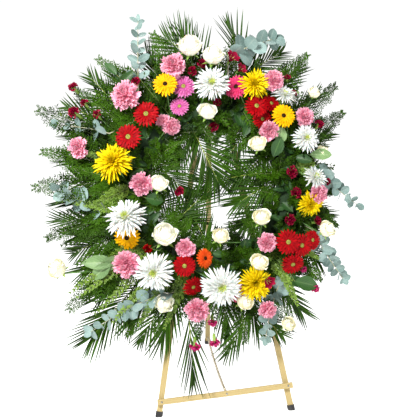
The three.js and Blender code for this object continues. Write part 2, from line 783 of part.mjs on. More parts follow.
let foam = ring([
  [foamInside, FOAM_BACK],
  [foamOutside, FOAM_BACK],
  [foamOutside, FOAM_SHOULDER],
  [foamOutside - FOAM_BEVEL, FOAM_FRONT],
  [foamInside + FOAM_BEVEL, FOAM_FRONT],
  [foamInside, FOAM_SHOULDER],
]);
for (const { room } of planted) {
  foam = foam.subtract(room);
}
add(wreath, 'foam_ring', geometryOf(largest(foam.subtract(pegHole))), FOAM);

const tray = ring([
  [FOAM_INNER, TRAY_BACK],
  [FOAM_OUTER, TRAY_BACK],
  [FOAM_OUTER, TRAY_RIM],
  [FOAM_OUTER - TRAY_WALL, TRAY_RIM],
  [FOAM_OUTER - TRAY_WALL, TRAY_BACK + TRAY_WALL],
  [FOAM_INNER + TRAY_WALL, TRAY_BACK + TRAY_WALL],
  [FOAM_INNER + TRAY_WALL, TRAY_RIM],
  [FOAM_INNER, TRAY_RIM],
]);
add(wreath, 'ring_tray', geometryOf(tray.subtract(pegHole)), PLASTIC);

// A flat strap on the apex of the front legs; its peg carries the tray
const strap = new THREE.BoxGeometry(STRAP_WIDTH, STRAP_TOP - STRAP_FOOT, STRAP_THICK - FIT);
strap.translate(0, (STRAP_TOP + STRAP_FOOT) / 2, (STRAP_THICK + FIT) / 2);
strap.translate(-RING_ACROSS, 0, 0);
const peg = solidOf(rod(PEG_RADIUS, pegFoot.clone().setZ(STRAP_THICK - 1), pegEnd));
add(wreath, 'hanging_strap', geometryOf(solidOf(strap).add(peg)), STEEL);

// The easel's leaning plane: X across, Y up the slope, Z out towards the viewer
const panel = new THREE.Group();
panel.rotation.x = Math.PI / 2 - LEAN;
panel.updateMatrixWorld();
wreath.position.set(RING_ACROSS, RING_UP, 0);
panel.add(wreath);

const easel = new THREE.Group();
easel.add(panel);

function boxAt(width, height, depth, middle) {
  return new THREE.BoxGeometry(width, height, depth).translate(middle.x, middle.y, middle.z);
}

function prism(points, from, to) {
  const settings = { depth: to - from, bevelEnabled: false };
  const geometry = new THREE.ExtrudeGeometry(new THREE.Shape(points), settings);
  return geometry.translate(0, 0, from);
}

// A leg's outline on the leaning plane; side is -1 for the left leg and 1 for the right
function legPoints(side) {
  const slope = Math.atan2(FOOT_SPREAD, APEX);
  const out = new THREE.Vector2(Math.cos(slope), Math.sin(slope)).multiplyScalar(LEG / 2);
  const middle = (up) => new THREE.Vector2(FOOT_SPREAD * (1 - up / APEX), up);
  const mitre = APEX * (1 - (out.x + FIT / 2) / FOOT_SPREAD);
  const points = [
    middle(LEG_FOOT).sub(out),
    middle(LEG_FOOT).add(out),
    middle(LEG_TOP).add(out),
    new THREE.Vector2(FIT / 2, LEG_TOP + out.y),
    new THREE.Vector2(FIT / 2, mitre - out.y),
  ];
  return points.map((point) => new THREE.Vector2(side * point.x, point.y));
}

// Crossbar with its screws, which hold it to the two legs and the chain to its middle
const barAlong = BAR_RIGHT.clone().sub(BAR_LEFT);
const bar = new THREE.BoxGeometry(barAlong.length(), BAR_HEIGHT, BAR_DEPTH);
bar.rotateZ(barAlong.angle());
bar.translate((BAR_LEFT.x + BAR_RIGHT.x) / 2, (BAR_LEFT.y + BAR_RIGHT.y) / 2, FIT + BAR_DEPTH / 2);
const barFace = FIT + BAR_DEPTH;
const SCREWS = [
  ['crossbar_screw_left', SCREW_PARTS[0], SCREW_LONG],
  ['crossbar_screw_middle', SCREW_PARTS[1], SCREW_SHORT],
  ['crossbar_screw_right', SCREW_PARTS[2], SCREW_LONG],
];

function screwAt([name, part, long]) {
  const place = BAR_LEFT.clone().lerp(BAR_RIGHT, part);
  const shank = [[0, -long], [SHANK, -long], [SHANK, FIT]];
  const head = [[SCREW_RADIUS, FIT], [SCREW_RADIUS * 0.7, SCREW_RIM], [0, SCREW_RISE]];
  const points = [...shank, ...head].map(([radius, out]) => new THREE.Vector2(radius, out));
  const screw = new THREE.LatheGeometry(points, 6);
  screw.rotateX(Math.PI / 2);
  screw.translate(place.x, place.y, barFace);
  const holeEnd = at(place.x, place.y, barFace - long - FIT);
  const hole = rod(SHANK + FIT, holeEnd, at(place.x, place.y, barFace + 2), 6);
  return { name, screw, hole: solidOf(hole) };
}

const screws = SCREWS.map(screwAt);
let barSolid = solidOf(bar);
const legSolids = [-1, 1].map((side) => {
  const points = legPoints(side);
  return solidOf(prism(side < 0 ? points.reverse() : points, -LEG, 0));
});
for (const { name, screw, hole } of screws) {
  add(panel, name, screw, STEEL);
  barSolid = barSolid.subtract(hole);
  legSolids[0] = legSolids[0].subtract(hole);
  legSolids[1] = legSolids[1].subtract(hole);
}
add(panel, 'crossbar', geometryOf(barSolid), WOOD);
add(panel, 'front_leg_left', geometryOf(legSolids[0]), WOOD);
add(panel, 'front_leg_right', geometryOf(legSolids[1]), WOOD);

// The head block joins the legs behind their apex and carries the rear leg's hinge
const blockFront = -LEG - FIT;
const blockBack = blockFront - BLOCK_DEPTH;
const halfWidth = (up) => FOOT_SPREAD * (1 - up / APEX) + LEG / 2;
const block = prism(
  [
    new THREE.Vector2(-halfWidth(BLOCK_LOW), BLOCK_LOW),
    new THREE.Vector2(halfWidth(BLOCK_LOW), BLOCK_LOW),
    new THREE.Vector2(halfWidth(BLOCK_HIGH), BLOCK_HIGH),
    new THREE.Vector2(-halfWidth(BLOCK_HIGH), BLOCK_HIGH),
  ],
  blockBack,
  blockFront,
);
add(panel, 'head_block', block, WOOD);

// A hinge knuckle with a flat web to its leaf, from one place across to another; reach is signed
function knuckle(from, to, reach, bore) {
  const outline = new THREE.Shape();
  outline.moveTo(-KNUCKLE, 0);
  for (let i = 0; i <= 5; i += 1) {
    const angle = Math.PI + (i / 5) * Math.PI;
    outline.lineTo(Math.cos(angle) * KNUCKLE, Math.sin(angle) * KNUCKLE);
  }
  outline.lineTo(KNUCKLE, reach);
  outline.lineTo(-KNUCKLE, reach);
  const geometry = new THREE.ExtrudeGeometry(outline, { depth: to - from, bevelEnabled: false });
  geometry.applyMatrix4(new THREE.Matrix4().makeBasis(at(0, 1, 0), at(0, 0, 1), at(1, 0, 0)));
  geometry.translate(from, 0, 0);
  let solid = solidOf(geometry);
  if (bore) {
    solid = solid.subtract(solidOf(rod(PIN + FIT, at(from - 1, 0, 0), at(to + 1, 0, 0))));
  }
  return solid;
}

const leafGap = blockBack - FIT - PIVOT_OUT;
let frontLeaf = solidOf(
  boxAt(2 * LEAF_HALF, LEAF_LONG, LEAF_THICK, at(0, KNUCKLE - LEAF_LONG / 2, leafGap - LEAF_THICK / 2)),
);
for (const from of [-LEAF_HALF, LEAF_HALF - KNUCKLE_LONG]) {
  frontLeaf = frontLeaf.add(knuckle(from, from + KNUCKLE_LONG, leafGap - LEAF_THICK / 2, true));
}
const frontLeafGeometry = geometryOf(frontLeaf);
frontLeafGeometry.translate(0, PIVOT_UP, PIVOT_OUT);
add(panel, 'hinge_front_leaf', frontLeafGeometry, STEEL);

// Rear leg: its own group turns about the hinge pin; the leg runs down its -Z
const pivot = at(0, PIVOT_UP, PIVOT_OUT).applyMatrix4(panel.matrixWorld);
const legMiddle = LEAF_OUT + FIT + LEG / 2;
const reachBack = REAR_FOOT_BACK - pivot.y;
const rearLength = Math.sqrt(reachBack ** 2 + pivot.z ** 2 - legMiddle ** 2);
const pivotToFoot = Math.hypot(reachBack, pivot.z);
const rearAngle = Math.atan2(reachBack, pivot.z) - Math.asin(legMiddle / pivotToFoot);
const rear = new THREE.Group();
rear.position.copy(pivot);
rear.rotation.x = rearAngle;
rear.updateMatrixWorld();
easel.add(rear);

const woodLength = rearLength - LEG_FOOT + ABOVE_PIVOT;
const woodMiddle = at(0, legMiddle, ABOVE_PIVOT - woodLength / 2);
const rearWood = boxAt(LEG, LEG, woodLength, woodMiddle);
add(rear, 'rear_leg', rearWood, WOOD);
const rearLeafPlate = boxAt(
  2 * (LEAF_HALF - KNUCKLE_LONG - FIT),
  LEAF_THICK,
  LEAF_LONG,
  at(0, LEAF_OUT - LEAF_THICK / 2, KNUCKLE - LEAF_LONG / 2),
);
const rearKnuckleHalf = LEAF_HALF - KNUCKLE_LONG - FIT;
const rearKnuckle = knuckle(-rearKnuckleHalf, rearKnuckleHalf, LEAF_OUT - LEAF_THICK / 2, false);
const turned = geometryOf(rearKnuckle).applyMatrix4(
  new THREE.Matrix4().makeBasis(at(1, 0, 0), at(0, 0, -1), at(0, 1, 0)),
);
const pin = rod(PIN, at(-LEAF_HALF - 2, 0, 0), at(LEAF_HALF + 2, 0, 0));
const rearLeaf = solidOf(turned).add(solidOf(rearLeafPlate)).add(solidOf(pin));
add(rear, 'hinge_rear_leaf', geometryOf(rearLeaf), STEEL);

// Rubber tips: a cup with cut corners round a leg's end, flat where it meets the floor
const floorCut = solidOf(boxAt(FLOOR_WIDE, FLOOR_WIDE, FLOOR_DEEP, at(0, 0, -FLOOR_DEEP / 2)));

function rubberTip(name, matrix) {
  const half = TIP_SIZE / 2;
  const cut = TIP_SIZE / 5;
  const corners = [[half, cut - half], [half, half - cut], [half - cut, half], [cut - half, half],
    [-half, half - cut], [-half, cut - half], [cut - half, -half], [half - cut, -half]];
  const cup = prism(corners.map(([x, y]) => new THREE.Vector2(x, y)), -TIP_SIZE / 2, TIP_HIGH);
  const socket = boxAt(LEG + 2 * FIT, LEG + 2 * FIT, TIP_SIZE, at(0, 0, LEG_FOOT - FIT + TIP_SIZE / 2));
  const solid = solidOf(cup.applyMatrix4(matrix)).subtract(solidOf(socket.applyMatrix4(matrix)));
  add(easel, name, geometryOf(solid.subtract(floorCut)), RUBBER);
}

for (const side of [-1, 1]) {
  const along = at(-side * FOOT_SPREAD, APEX, 0).normalize();
  const out = at(0, 0, 1);
  const basis = new THREE.Matrix4().makeBasis(out, along.clone().cross(out), along);
  basis.setPosition(side * FOOT_SPREAD, 0, -LEG / 2);
  rubberTip(side < 0 ? 'foot_tip_left' : 'foot_tip_right', panel.matrixWorld.clone().multiply(basis));
}
rubberTip('foot_tip_rear', rear.matrixWorld.clone().multiply(
  new THREE.Matrix4().makeTranslation(0, legMiddle, -rearLength),
));

// The chain that stops the rear leg: from the crossbar's middle screw to the rear leg's front
const chainStart = at(CHAIN_ACROSS, CHAIN_LOW, -CHAIN_END_GAP).applyMatrix4(panel.matrixWorld);
const chainEnd = at(0, LEAF_OUT - CHAIN_END_GAP, CHAIN_UP - rearLength).applyMatrix4(rear.matrixWorld);
const chainMiddle = chainStart.clone().lerp(chainEnd, 0.5);
chainMiddle.z -= 2 * CHAIN_SAG;
const chainCurve = new THREE.QuadraticBezierCurve3(chainStart, chainMiddle, chainEnd);
add(easel, 'chain', stem(chainCurve.getPoints(CHAIN_STEPS), CHAIN_RADIUS, CHAIN_RADIUS, 6), BRASS);

// The part stands on the floor with its origin under the middle of its outline
const part = new THREE.Group();
part.add(easel);
const outline = new THREE.Box3().setFromObject(part, true);
const outlineMiddle = outline.getCenter(new THREE.Vector3());
easel.position.set(-outlineMiddle.x, -outlineMiddle.y, -outline.min.z);

export default part;
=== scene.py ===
# Funeral wreath on its folding wooden easel: blooms, greens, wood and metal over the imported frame.
import math

import bpy
import numpy as np
from mathutils import Matrix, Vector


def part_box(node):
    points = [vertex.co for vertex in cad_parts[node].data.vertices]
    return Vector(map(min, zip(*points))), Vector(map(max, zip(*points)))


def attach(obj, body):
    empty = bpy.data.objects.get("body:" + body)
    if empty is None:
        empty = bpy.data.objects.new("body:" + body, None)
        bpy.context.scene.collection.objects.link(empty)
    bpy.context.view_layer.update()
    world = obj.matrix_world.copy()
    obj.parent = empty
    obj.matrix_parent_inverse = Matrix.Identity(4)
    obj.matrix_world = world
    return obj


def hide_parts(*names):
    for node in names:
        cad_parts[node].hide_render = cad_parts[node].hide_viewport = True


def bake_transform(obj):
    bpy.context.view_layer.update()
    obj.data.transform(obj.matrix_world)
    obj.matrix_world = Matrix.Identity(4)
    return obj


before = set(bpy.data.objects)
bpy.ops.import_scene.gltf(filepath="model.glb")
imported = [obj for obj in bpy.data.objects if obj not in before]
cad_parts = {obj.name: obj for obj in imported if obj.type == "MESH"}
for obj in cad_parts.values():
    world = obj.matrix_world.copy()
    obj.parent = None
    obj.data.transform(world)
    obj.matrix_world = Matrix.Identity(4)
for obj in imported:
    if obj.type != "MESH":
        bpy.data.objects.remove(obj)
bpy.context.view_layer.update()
chance = np.random.default_rng(11)

# Where the wreath hangs, in millimetres on the easel's leaning plane
LEAN = math.radians(15)
RING_ACROSS = -12
RING_UP = 745
TRAY_MIDDLE_OUT = 9.9
MAIN_BODY = "wreath_and_frame"

# The photograph's camera, in millimetres from the floor midway between the front feet
CAMERA_PLACE = np.array([-280.9, -3051.2, 1254.5])
CAMERA_TARGET = np.array([-37.9, 0.0, 681.1])
CAMERA_ROLL = -1.18
FOCAL_PIXELS = 988.68
PHOTO_PIXELS = 420
SENSOR = 36.0

UP_SLOPE = np.array([0, math.sin(LEAN), math.cos(LEAN)])
OUTWARD = np.array([0, -math.cos(LEAN), math.sin(LEAN)])
ACROSS = np.array([1.0, 0, 0])

# Straight out from the wreath, in its own axes
OUT = np.array([0, 0, 1.0])


def ring_centre():
    """The ring's middle on the easel's plane, from its tray, in millimetres."""
    low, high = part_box("ring_tray")
    middle = (np.array(low) + np.array(high)) * 500
    return middle - OUTWARD * TRAY_MIDDLE_OUT


RING_CENTRE = ring_centre()
FLOOR_ORIGIN = RING_CENTRE - ACROSS * RING_ACROSS - UP_SLOPE * RING_UP
FRAME_AXES = np.column_stack([ACROSS, UP_SLOPE, OUTWARD])


def to_row(points):
    """Points on the wreath (across, up, out, mm from the ring's middle) in the row frame, in metres."""
    return (np.asarray(points, float) @ FRAME_AXES.T + RING_CENTRE) / 1000


def unit(v):
    """Vectors brought to length 1."""
    v = np.asarray(v, float)
    return v / np.maximum(np.linalg.norm(v, axis=-1, keepdims=True), 1e-9)


# Camera


def look_camera():
    """The camera that the photograph was fitted to."""
    data = bpy.data.cameras.new("photo_camera")
    camera = bpy.data.objects.new("photo_camera", data)
    bpy.context.scene.collection.objects.link(camera)
    data.sensor_width = SENSOR
    data.lens = FOCAL_PIXELS / PHOTO_PIXELS * SENSOR
    data.clip_end = 50
    place = (CAMERA_PLACE + FLOOR_ORIGIN) / 1000
    target = (CAMERA_TARGET + FLOOR_ORIGIN) / 1000
    back = unit(place - target)
    right = unit(np.cross([0, 0, 1], back))
    top = np.cross(back, right)
    roll = math.radians(CAMERA_ROLL)
    turned_right = right * math.cos(roll) + top * math.sin(roll)
    turned_top = np.cross(back, turned_right)
    matrix = np.eye(4)
    matrix[:3, 0], matrix[:3, 1], matrix[:3, 2], matrix[:3, 3] = turned_right, turned_top, back, place
    camera.matrix_world = Matrix(matrix.tolist())
    bpy.context.scene.camera = camera


look_camera()

# Blades: every petal and leaflet is a thin sheet that bends along its length


class Growth:
    """Gathers sheets of points for one object, with a mark (along, across, tint) at each point."""

    def __init__(self):
        self.points, self.marks, self.faces, self.looks = [], [], [], []
        self.count = 0
        self.first = 0

    def sheets(self, points, marks, look=0):
        """points and marks are (sheets, rows, columns, 3); look is the material's place after self.first."""
        sheets, rows, columns, _ = points.shape
        corner = np.arange(sheets * rows * columns).reshape(sheets, rows, columns)
        quads = np.stack(
            [corner[:, :-1, :-1], corner[:, :-1, 1:], corner[:, 1:, 1:], corner[:, 1:, :-1]], axis=-1
        ).reshape(-1, 4)
        self.points.append(points.reshape(-1, 3))
        self.marks.append(marks.reshape(-1, 3))
        self.faces.append(quads + self.count)
        self.looks.append(np.full(len(quads), self.first + look))
        self.count += points.shape[0] * rows * columns

    def seat(self, sheets, centre, turn, look):
        """Adds sheets made round +Z at the origin, turned and moved to their place on the wreath."""
        points, marks = sheets
        self.sheets(points @ turn.T + np.asarray(centre, float), marks, look)

    def build(self, name, materials, body=MAIN_BODY, place=to_row):
        """One mesh of all the sheets; place takes their points to the row frame, in metres."""
        points = place(np.vstack(self.points))
        faces = np.vstack(self.faces)
        mesh = bpy.data.meshes.new(name)
        mesh.vertices.add(len(points))
        mesh.vertices.foreach_set("co", points.astype(np.float32).ravel())
        mesh.loops.add(faces.size)
        mesh.loops.foreach_set("vertex_index", faces.astype(np.int32).ravel())
        mesh.polygons.add(len(faces))
        mesh.polygons.foreach_set("loop_start", np.arange(0, faces.size, 4, dtype=np.int32))
        mesh.polygons.foreach_set("material_index", np.concatenate(self.looks).astype(np.int32))
        mesh.polygons.foreach_set("use_smooth", np.ones(len(faces), bool))
        mark = mesh.attributes.new("mark", "FLOAT_VECTOR", "POINT")
        mark.data.foreach_set("vector", np.vstack(self.marks).astype(np.float32).ravel())
        mesh.update(calc_edges=True)
        mesh.validate()
        piece = bpy.data.objects.new(name, mesh)
        bpy.context.scene.collection.objects.link(piece)
        for material in materials:
            mesh.materials.append(material)
        if body:
            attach(piece, body)
        return piece


def steps(points, values):
    """A half-width along a blade, as a part of its widest, from a few given ones."""
    return lambda t: np.interp(t, points, values)


RAY = steps([0, 0.15, 0.55, 0.85, 0.95, 1], [0.4, 0.6, 1, 0.9, 0.55, 0.12])
QUILL = steps([0, 0.1, 0.5, 0.82, 0.95, 1], [0.5, 0.55, 0.75, 1, 0.6, 0.08])
FAN = steps([0, 0.3, 0.7, 0.92, 1], [0.1, 0.26, 0.8, 1, 0.96])
SPEAR = steps([0, 0.08, 0.35, 0.75, 1], [0.35, 0.8, 1, 0.62, 0.02])
ROUND = steps([0, 0.07, 0.25, 0.5, 0.78, 0.93, 1], [0.12, 0.55, 0.92, 1, 0.82, 0.45, 0.06])
OVAL = steps([0, 0.1, 0.35, 0.6, 0.85, 1], [0.06, 0.5, 0.95, 0.92, 0.46, 0.03])
TEPAL = steps([0, 0.2, 0.55, 0.8, 0.95, 1], [0.16, 0.35, 0.9, 1, 0.5, 0.1])


def marked(points, along, across, tint):
    """Points with their marks, which the materials read."""
    marks = np.empty(points.shape)
    marks[..., 0], marks[..., 1], marks[..., 2] = along, across, tint
    return points, marks


def blades(
    base, direction, normal, length, width, outline, *,
    bend=0.0, along=5, across=2, cup=0.0, ruffle=0.0, waves=3.0, jag=0.0, twist=0.0, tint=None,
):
    """Sheets from their bases along direction, turning towards normal by bend over their length."""
    base, direction, normal = (np.atleast_2d(np.asarray(v, float)) for v in (base, direction, normal))
    count = len(base)
    direction = np.broadcast_to(unit(direction), (count, 3))
    normal = np.broadcast_to(normal, (count, 3))
    normal = unit(normal - direction * (normal * direction).sum(-1, keepdims=True))
    side = np.cross(normal, direction)
    length, width, bend, twist = (
        np.broadcast_to(np.asarray(v, float), (count,))[:, None] for v in (length, width, bend, twist)
    )
    t = np.linspace(0, 1, along + 1)
    v = np.linspace(-1, 1, across + 1)
    angle = bend * t
    ahead, rise = np.cos(angle) * length / along, np.sin(angle) * length / along
    zero = np.zeros((count, 1))
    x = np.hstack([zero, np.cumsum((ahead[:, 1:] + ahead[:, :-1]) / 2, axis=1)])
    z = np.hstack([zero, np.cumsum((rise[:, 1:] + rise[:, :-1]) / 2, axis=1)])
    half = width / 2 * outline(t)
    phase = chance.uniform(0, 6.28, (count, 1, 1))
    across_now = half[:, :, None] * v
    off = cup * half[:, :, None] * v**2
    off = off + ruffle * width[:, :, None] * np.sin(waves * math.pi * v + phase) * t[:, None] ** 2
    reach = jag * length[:, :, None] * chance.uniform(-1, 0.6, (count, 1, across + 1)) * t[:, None] ** 5
    turn = (twist * t)[:, :, None]
    flat = across_now * np.cos(turn) - off * np.sin(turn)
    off = across_now * np.sin(turn) + off * np.cos(turn)
    cos, sin = np.cos(angle)[:, :, None], np.sin(angle)[:, :, None]
    ahead = x[:, :, None] + reach * cos - off * sin
    lift = z[:, :, None] + reach * sin + off * cos
    points = (
        base[:, None, None, :]
        + ahead[..., None] * direction[:, None, None, :]
        + lift[..., None] * normal[:, None, None, :]
        + flat[..., None] * side[:, None, None, :]
    )
    if tint is None:
        tint = chance.uniform(0, 1, count)
    tint = np.broadcast_to(np.asarray(tint, float), (count,))
    return marked(points, t[:, None], v, tint[:, None, None])


def whorl(count, length, width, outline, *, start=0.0, lift=0.0, rise=0.0, spin=0.0, loose=0.15, **more):
    """A ring of blades round +Z that leave the middle at rise above the level."""
    angle = spin + (np.arange(count) + chance.uniform(-loose, loose, count)) * 2 * math.pi / count
    rise = np.broadcast_to(rise, (count,))
    out = np.stack([np.cos(angle), np.sin(angle), np.zeros(count)], -1)
    direction = out * np.cos(rise)[:, None] + OUT * np.sin(rise)[:, None]
    normal = -out * np.sin(rise)[:, None] + OUT * np.cos(rise)[:, None]
    start = np.broadcast_to(start, (count,))[:, None]
    return blades(out * start + OUT * lift, direction, normal, length, width, outline, **more)


def turn_to(facing, spin=0.0):
    """The turn that takes +Z to facing."""
    front = unit(facing)
    right = unit(np.cross([0.02, 1, 0.03], front))
    top = np.cross(front, right)
    cos, sin = math.cos(spin), math.sin(spin)
    return np.column_stack([right * cos + top * sin, top * cos - right * sin, front])


def tube(path, radii, sides=5, tint=0.5):
    """A round stem through the points of path."""
    path = np.asarray(path, float)
    radii = np.broadcast_to(np.asarray(radii, float), (len(path),))
    along = unit(np.gradient(path, axis=0))
    side = unit(np.cross(along, [0.31, 0.52, 0.79]))
    other = np.cross(along, side)
    angle = np.linspace(0, 2 * math.pi, sides + 1)
    ring = side[:, None] * np.cos(angle)[:, None] + other[:, None] * np.sin(angle)[:, None]
    points = (path[:, None] + ring * radii[:, None, None])[None]
    return marked(points, np.linspace(0, 1, len(path))[:, None], np.linspace(-1, 1, sides + 1), tint)


def lathe(profile, sides=10):
    """A surface turned round +Z from (radius, height) pairs."""
    profile = np.asarray(profile, float)
    angle = np.linspace(0, 2 * math.pi, sides + 1)
    radius, height = profile[:, :1], np.repeat(profile[:, 1:], sides + 1, 1)
    points = np.stack([radius * np.cos(angle), radius * np.sin(angle), height], -1)[None]
    rows, columns = np.linspace(0, 1, len(profile))[:, None], np.linspace(-1, 1, sides + 1)
    return marked(points, rows, columns, chance.uniform(0, 1))


def bowed(start, end, sag=(0, 0, 0), points=6):
    """A path from start to end that bows by sag at its middle."""
    t = np.linspace(0, 1, points)[:, None]
    start, end, sag = (np.asarray(v, float) for v in (start, end, sag))
    return start + (end - start) * t + sag * 4 * t * (1 - t)


def on_path(path, parts, marks=None):
    """Places and directions at parts of a path, whose points lie at marks or evenly from 0 to 1."""
    marks = np.linspace(0, 1, len(path)) if marks is None else marks
    place = np.stack([np.interp(parts, marks, path[:, k]) for k in range(3)], -1)
    ahead = np.stack([np.interp(parts, marks, np.gradient(path[:, k])) for k in range(3)], -1)
    return place, unit(ahead)


# Flower heads: each makes its sheets round +Z, in parts of its radius r, and seats them at its place.
# A style's four materials follow one another in this order.

PETAL, HEART, CALYX, STALK = 0, 1, 2, 3
GOLDEN_ANGLE = 2.39996


def florets(growth, radius, count, height, size, centre, turn):
    """The small close florets of a daisy's middle, in a spiral over a low dome."""
    i = np.arange(count)
    r = radius * np.sqrt((i + 0.5) / count)
    a = i * GOLDEN_ANGLE
    out = np.stack([np.cos(a), np.sin(a), np.zeros(count)], -1)
    base = out * r[:, None]
    base[:, 2] = height * (1 - (r / radius) ** 2)
    direction = out * 0.5 * (r / radius)[:, None] + OUT
    normal = np.stack([-np.sin(a), np.cos(a), np.zeros(count)], -1)
    for spin_normal in (normal, np.cross(direction, normal)):
        sheets = blades(base, direction, spin_normal, size, size * 0.75, TEPAL, along=2, across=1,
                        tint=r / radius)
        growth.seat(sheets, centre, turn, HEART)


def gerbera(growth, r, centre, turn):
    """Two full rows of broad rays, a third and a short inner row over them, and the disc."""
    # Count, length, width, rise, bend, start and lift of each row
    rows = [
        (21, 0.77, 0.2, 0.02, -0.3, 0.2, 0.0),
        (21, 0.7, 0.19, 0.2, -0.32, 0.2, 0.035),
        (17, 0.5, 0.14, 0.42, -0.36, 0.17, 0.05),
        (20, 0.27, 0.08, 0.42, -0.25, 0.15, 0.06),
    ]
    for count, length, width, rise, bend, start, lift in rows:
        sheets = whorl(
            count, length * r * chance.uniform(0.93, 1.03, count), width * r, RAY, start=start * r,
            lift=lift * r, rise=rise + chance.uniform(-0.08, 0.08, count), bend=bend, along=5, across=2,
            cup=0.22, jag=0.03, twist=chance.uniform(-0.25, 0.25, count), spin=chance.uniform(0, 6),
        )
        growth.seat(sheets, centre, turn, PETAL)
    disc = lathe([(0.2 * r, 0.02 * r), (0.17 * r, 0.07 * r), (0.1 * r, 0.1 * r), (0.01 * r, 0.085 * r)], 12)
    growth.seat(disc, centre, turn, HEART)
    florets(growth, 0.11 * r, 36, 0.13 * r, 0.06 * r, centre, turn)
    sepals = whorl(14, 0.3 * r, 0.08 * r, SPEAR, lift=-0.1 * r, rise=0.15, bend=0.3)
    growth.seat(sepals, centre, turn, CALYX)


def chrysanthemum(growth, r, centre, turn):
    """Long quilled rays in seven rows that close towards the middle."""
    # Count, length, rise, bend and lift of each row
    rows = [
        (28, 1.02, -0.08, -0.2, 0.0),
        (28, 0.99, 0.12, -0.22, 0.04),
        (26, 0.9, 0.34, -0.2, 0.08),
        (24, 0.76, 0.56, -0.1, 0.11),
        (21, 0.6, 0.76, 0.05, 0.12),
        (17, 0.44, 0.95, 0.2, 0.12),
        (12, 0.28, 1.1, 0.3, 0.12),
    ]
    for count, length, rise, bend, lift in rows:
        sheets = whorl(
            count, length * r * chance.uniform(0.76, 1.11, count), 0.106 * r, QUILL, start=0.05 * r,
            lift=lift * r, rise=rise + chance.uniform(-0.13, 0.13, count),
            bend=bend + chance.uniform(-0.25, 0.3, count), along=6, across=2, cup=0.75, loose=0.4,
            twist=chance.uniform(-0.5, 0.5, count), spin=chance.uniform(0, 6),
        )
        growth.seat(sheets, centre, turn, PETAL)
    heart = lathe([(0.14 * r, 0.06 * r), (0.12 * r, 0.15 * r), (0.06 * r, 0.2 * r), (0.01 * r, 0.21 * r)])
    growth.seat(heart, centre, turn, HEART)
    florets(growth, 0.12 * r, 18, 0.06 * r, 0.27 * r, centre + turn @ (OUT * 0.14 * r), turn)
    cup = lathe([(0.01 * r, -0.26 * r), (0.12 * r, -0.22 * r), (0.2 * r, -0.06 * r), (0.16 * r, 0)])
    growth.seat(cup, centre, turn, CALYX)


def rose(growth, r, centre, turn):
    """A half-open rose: petals wrapped close round the heart, the outermost rolled back at the lip."""
    count, along, across = 21, 7, 6
    t = np.linspace(0, 1, along + 1)[:, None]
    v = np.linspace(-1, 1, across + 1)[None]
    petals = []
    spin = chance.uniform(0, 6)
    for i in range(count):
        part = i / (count - 1)
        angle = spin + i * 2.22 + chance.uniform(-0.2, 0.2)
        spread = 1.55 - 0.5 * part
        wide = spread * (0.35 + 0.65 * np.sin(np.pi * (0.16 + 0.62 * t)))
        wide = wide * (1 - 0.35 * np.clip(t - 0.8, 0, 1) / 0.2)
        around = angle + wide * v
        size = 0.08 + 0.68 * part**0.8
        shut = 0.84 - 0.2 * part
        belly = np.sin(np.pi * np.clip(0.1 + t * shut, 0, 1)) ** 0.75
        roll = np.clip(part - 0.5, 0, 1) * np.clip(t - 0.68, 0, 1) ** 1.4 * 3.4
        radius = r * (0.05 + size * belly + roll * (0.7 + 0.3 * v**2)) + r * 0.03 * v
        height = r * (-0.66 + t * (1.5 - 0.42 * part) - roll * 0.75 * (0.6 + 0.4 * v**2))
        height = height - r * 0.12 * v**2 * t + r * 0.025 * np.sin(5 * v + i)
        grid = np.stack([radius * np.cos(around), radius * np.sin(around), height], -1)
        petals.append(marked(grid, t, v, part))
    points, marks = (np.array(each) for each in zip(*petals))
    growth.seat((points, marks), centre, turn, PETAL)
    hip = lathe([(0.02 * r, -0.86 * r), (0.13 * r, -0.84 * r), (0.24 * r, -0.7 * r), (0.28 * r, -0.55 * r)])
    growth.seat(hip, centre, turn, CALYX)
    sepals = whorl(5, 0.66 * r, 0.24 * r, SPEAR, start=0.2 * r, lift=-0.64 * r, rise=0.25, bend=-0.7, along=5)
    growth.seat(sepals, centre, turn, CALYX)


def frills(growth, r, centre, turn, rows, waves, along):
    """Rows (count, length, width, rise, bend) of fanned petals with ruffled and toothed edges."""
    for count, length, width, rise, bend in rows:
        sheets = whorl(
            count, length * r * chance.uniform(0.8, 1.08, count), width * r, FAN, start=0.05 * r,
            lift=-0.32 * r, rise=rise + chance.uniform(-0.26, 0.26, count),
            bend=bend + chance.uniform(-0.35, 0.35, count), along=along, across=6, cup=0.2,
            ruffle=0.24, waves=waves, jag=0.13, spin=chance.uniform(0, 6), loose=0.8,
            twist=chance.uniform(-0.8, 0.8, count),
        )
        growth.seat(sheets, centre, turn, PETAL)


def calyx(growth, centre, turn, low, high, radius):
    """The green tube that holds a carnation's petals, with five points."""
    tall = high - low
    profile = [(0.3, low), (0.8, low + 0.12 * tall), (1, low + 0.5 * tall), (1.12, high)]
    growth.seat(lathe([(wide * radius, height) for wide, height in profile]), centre, turn, CALYX)
    points = whorl(5, tall * 0.38, radius * 1.2, SPEAR, start=radius, lift=high - 1, rise=1.2, bend=-0.5)
    growth.seat(points, centre, turn, CALYX)


def carnation(growth, r, centre, turn):
    """Seven rows of frilled petals that close to a full head, on a slim calyx."""
    rows = [
        (13, 0.98, 0.6, 0.02, -0.15),
        (13, 1.0, 0.56, 0.26, -0.2),
        (13, 1.04, 0.52, 0.5, -0.15),
        (12, 1.06, 0.48, 0.74, -0.1),
        (11, 1.06, 0.42, 0.98, 0.05),
        (9, 1.04, 0.38, 1.2, 0.1),
        (6, 1.02, 0.34, 1.42, 0.1),
    ]
    frills(growth, r, centre, turn, rows, 2.4, along=4)
    calyx(growth, centre, turn, -1.0 * r, -0.3 * r, 0.17 * r)


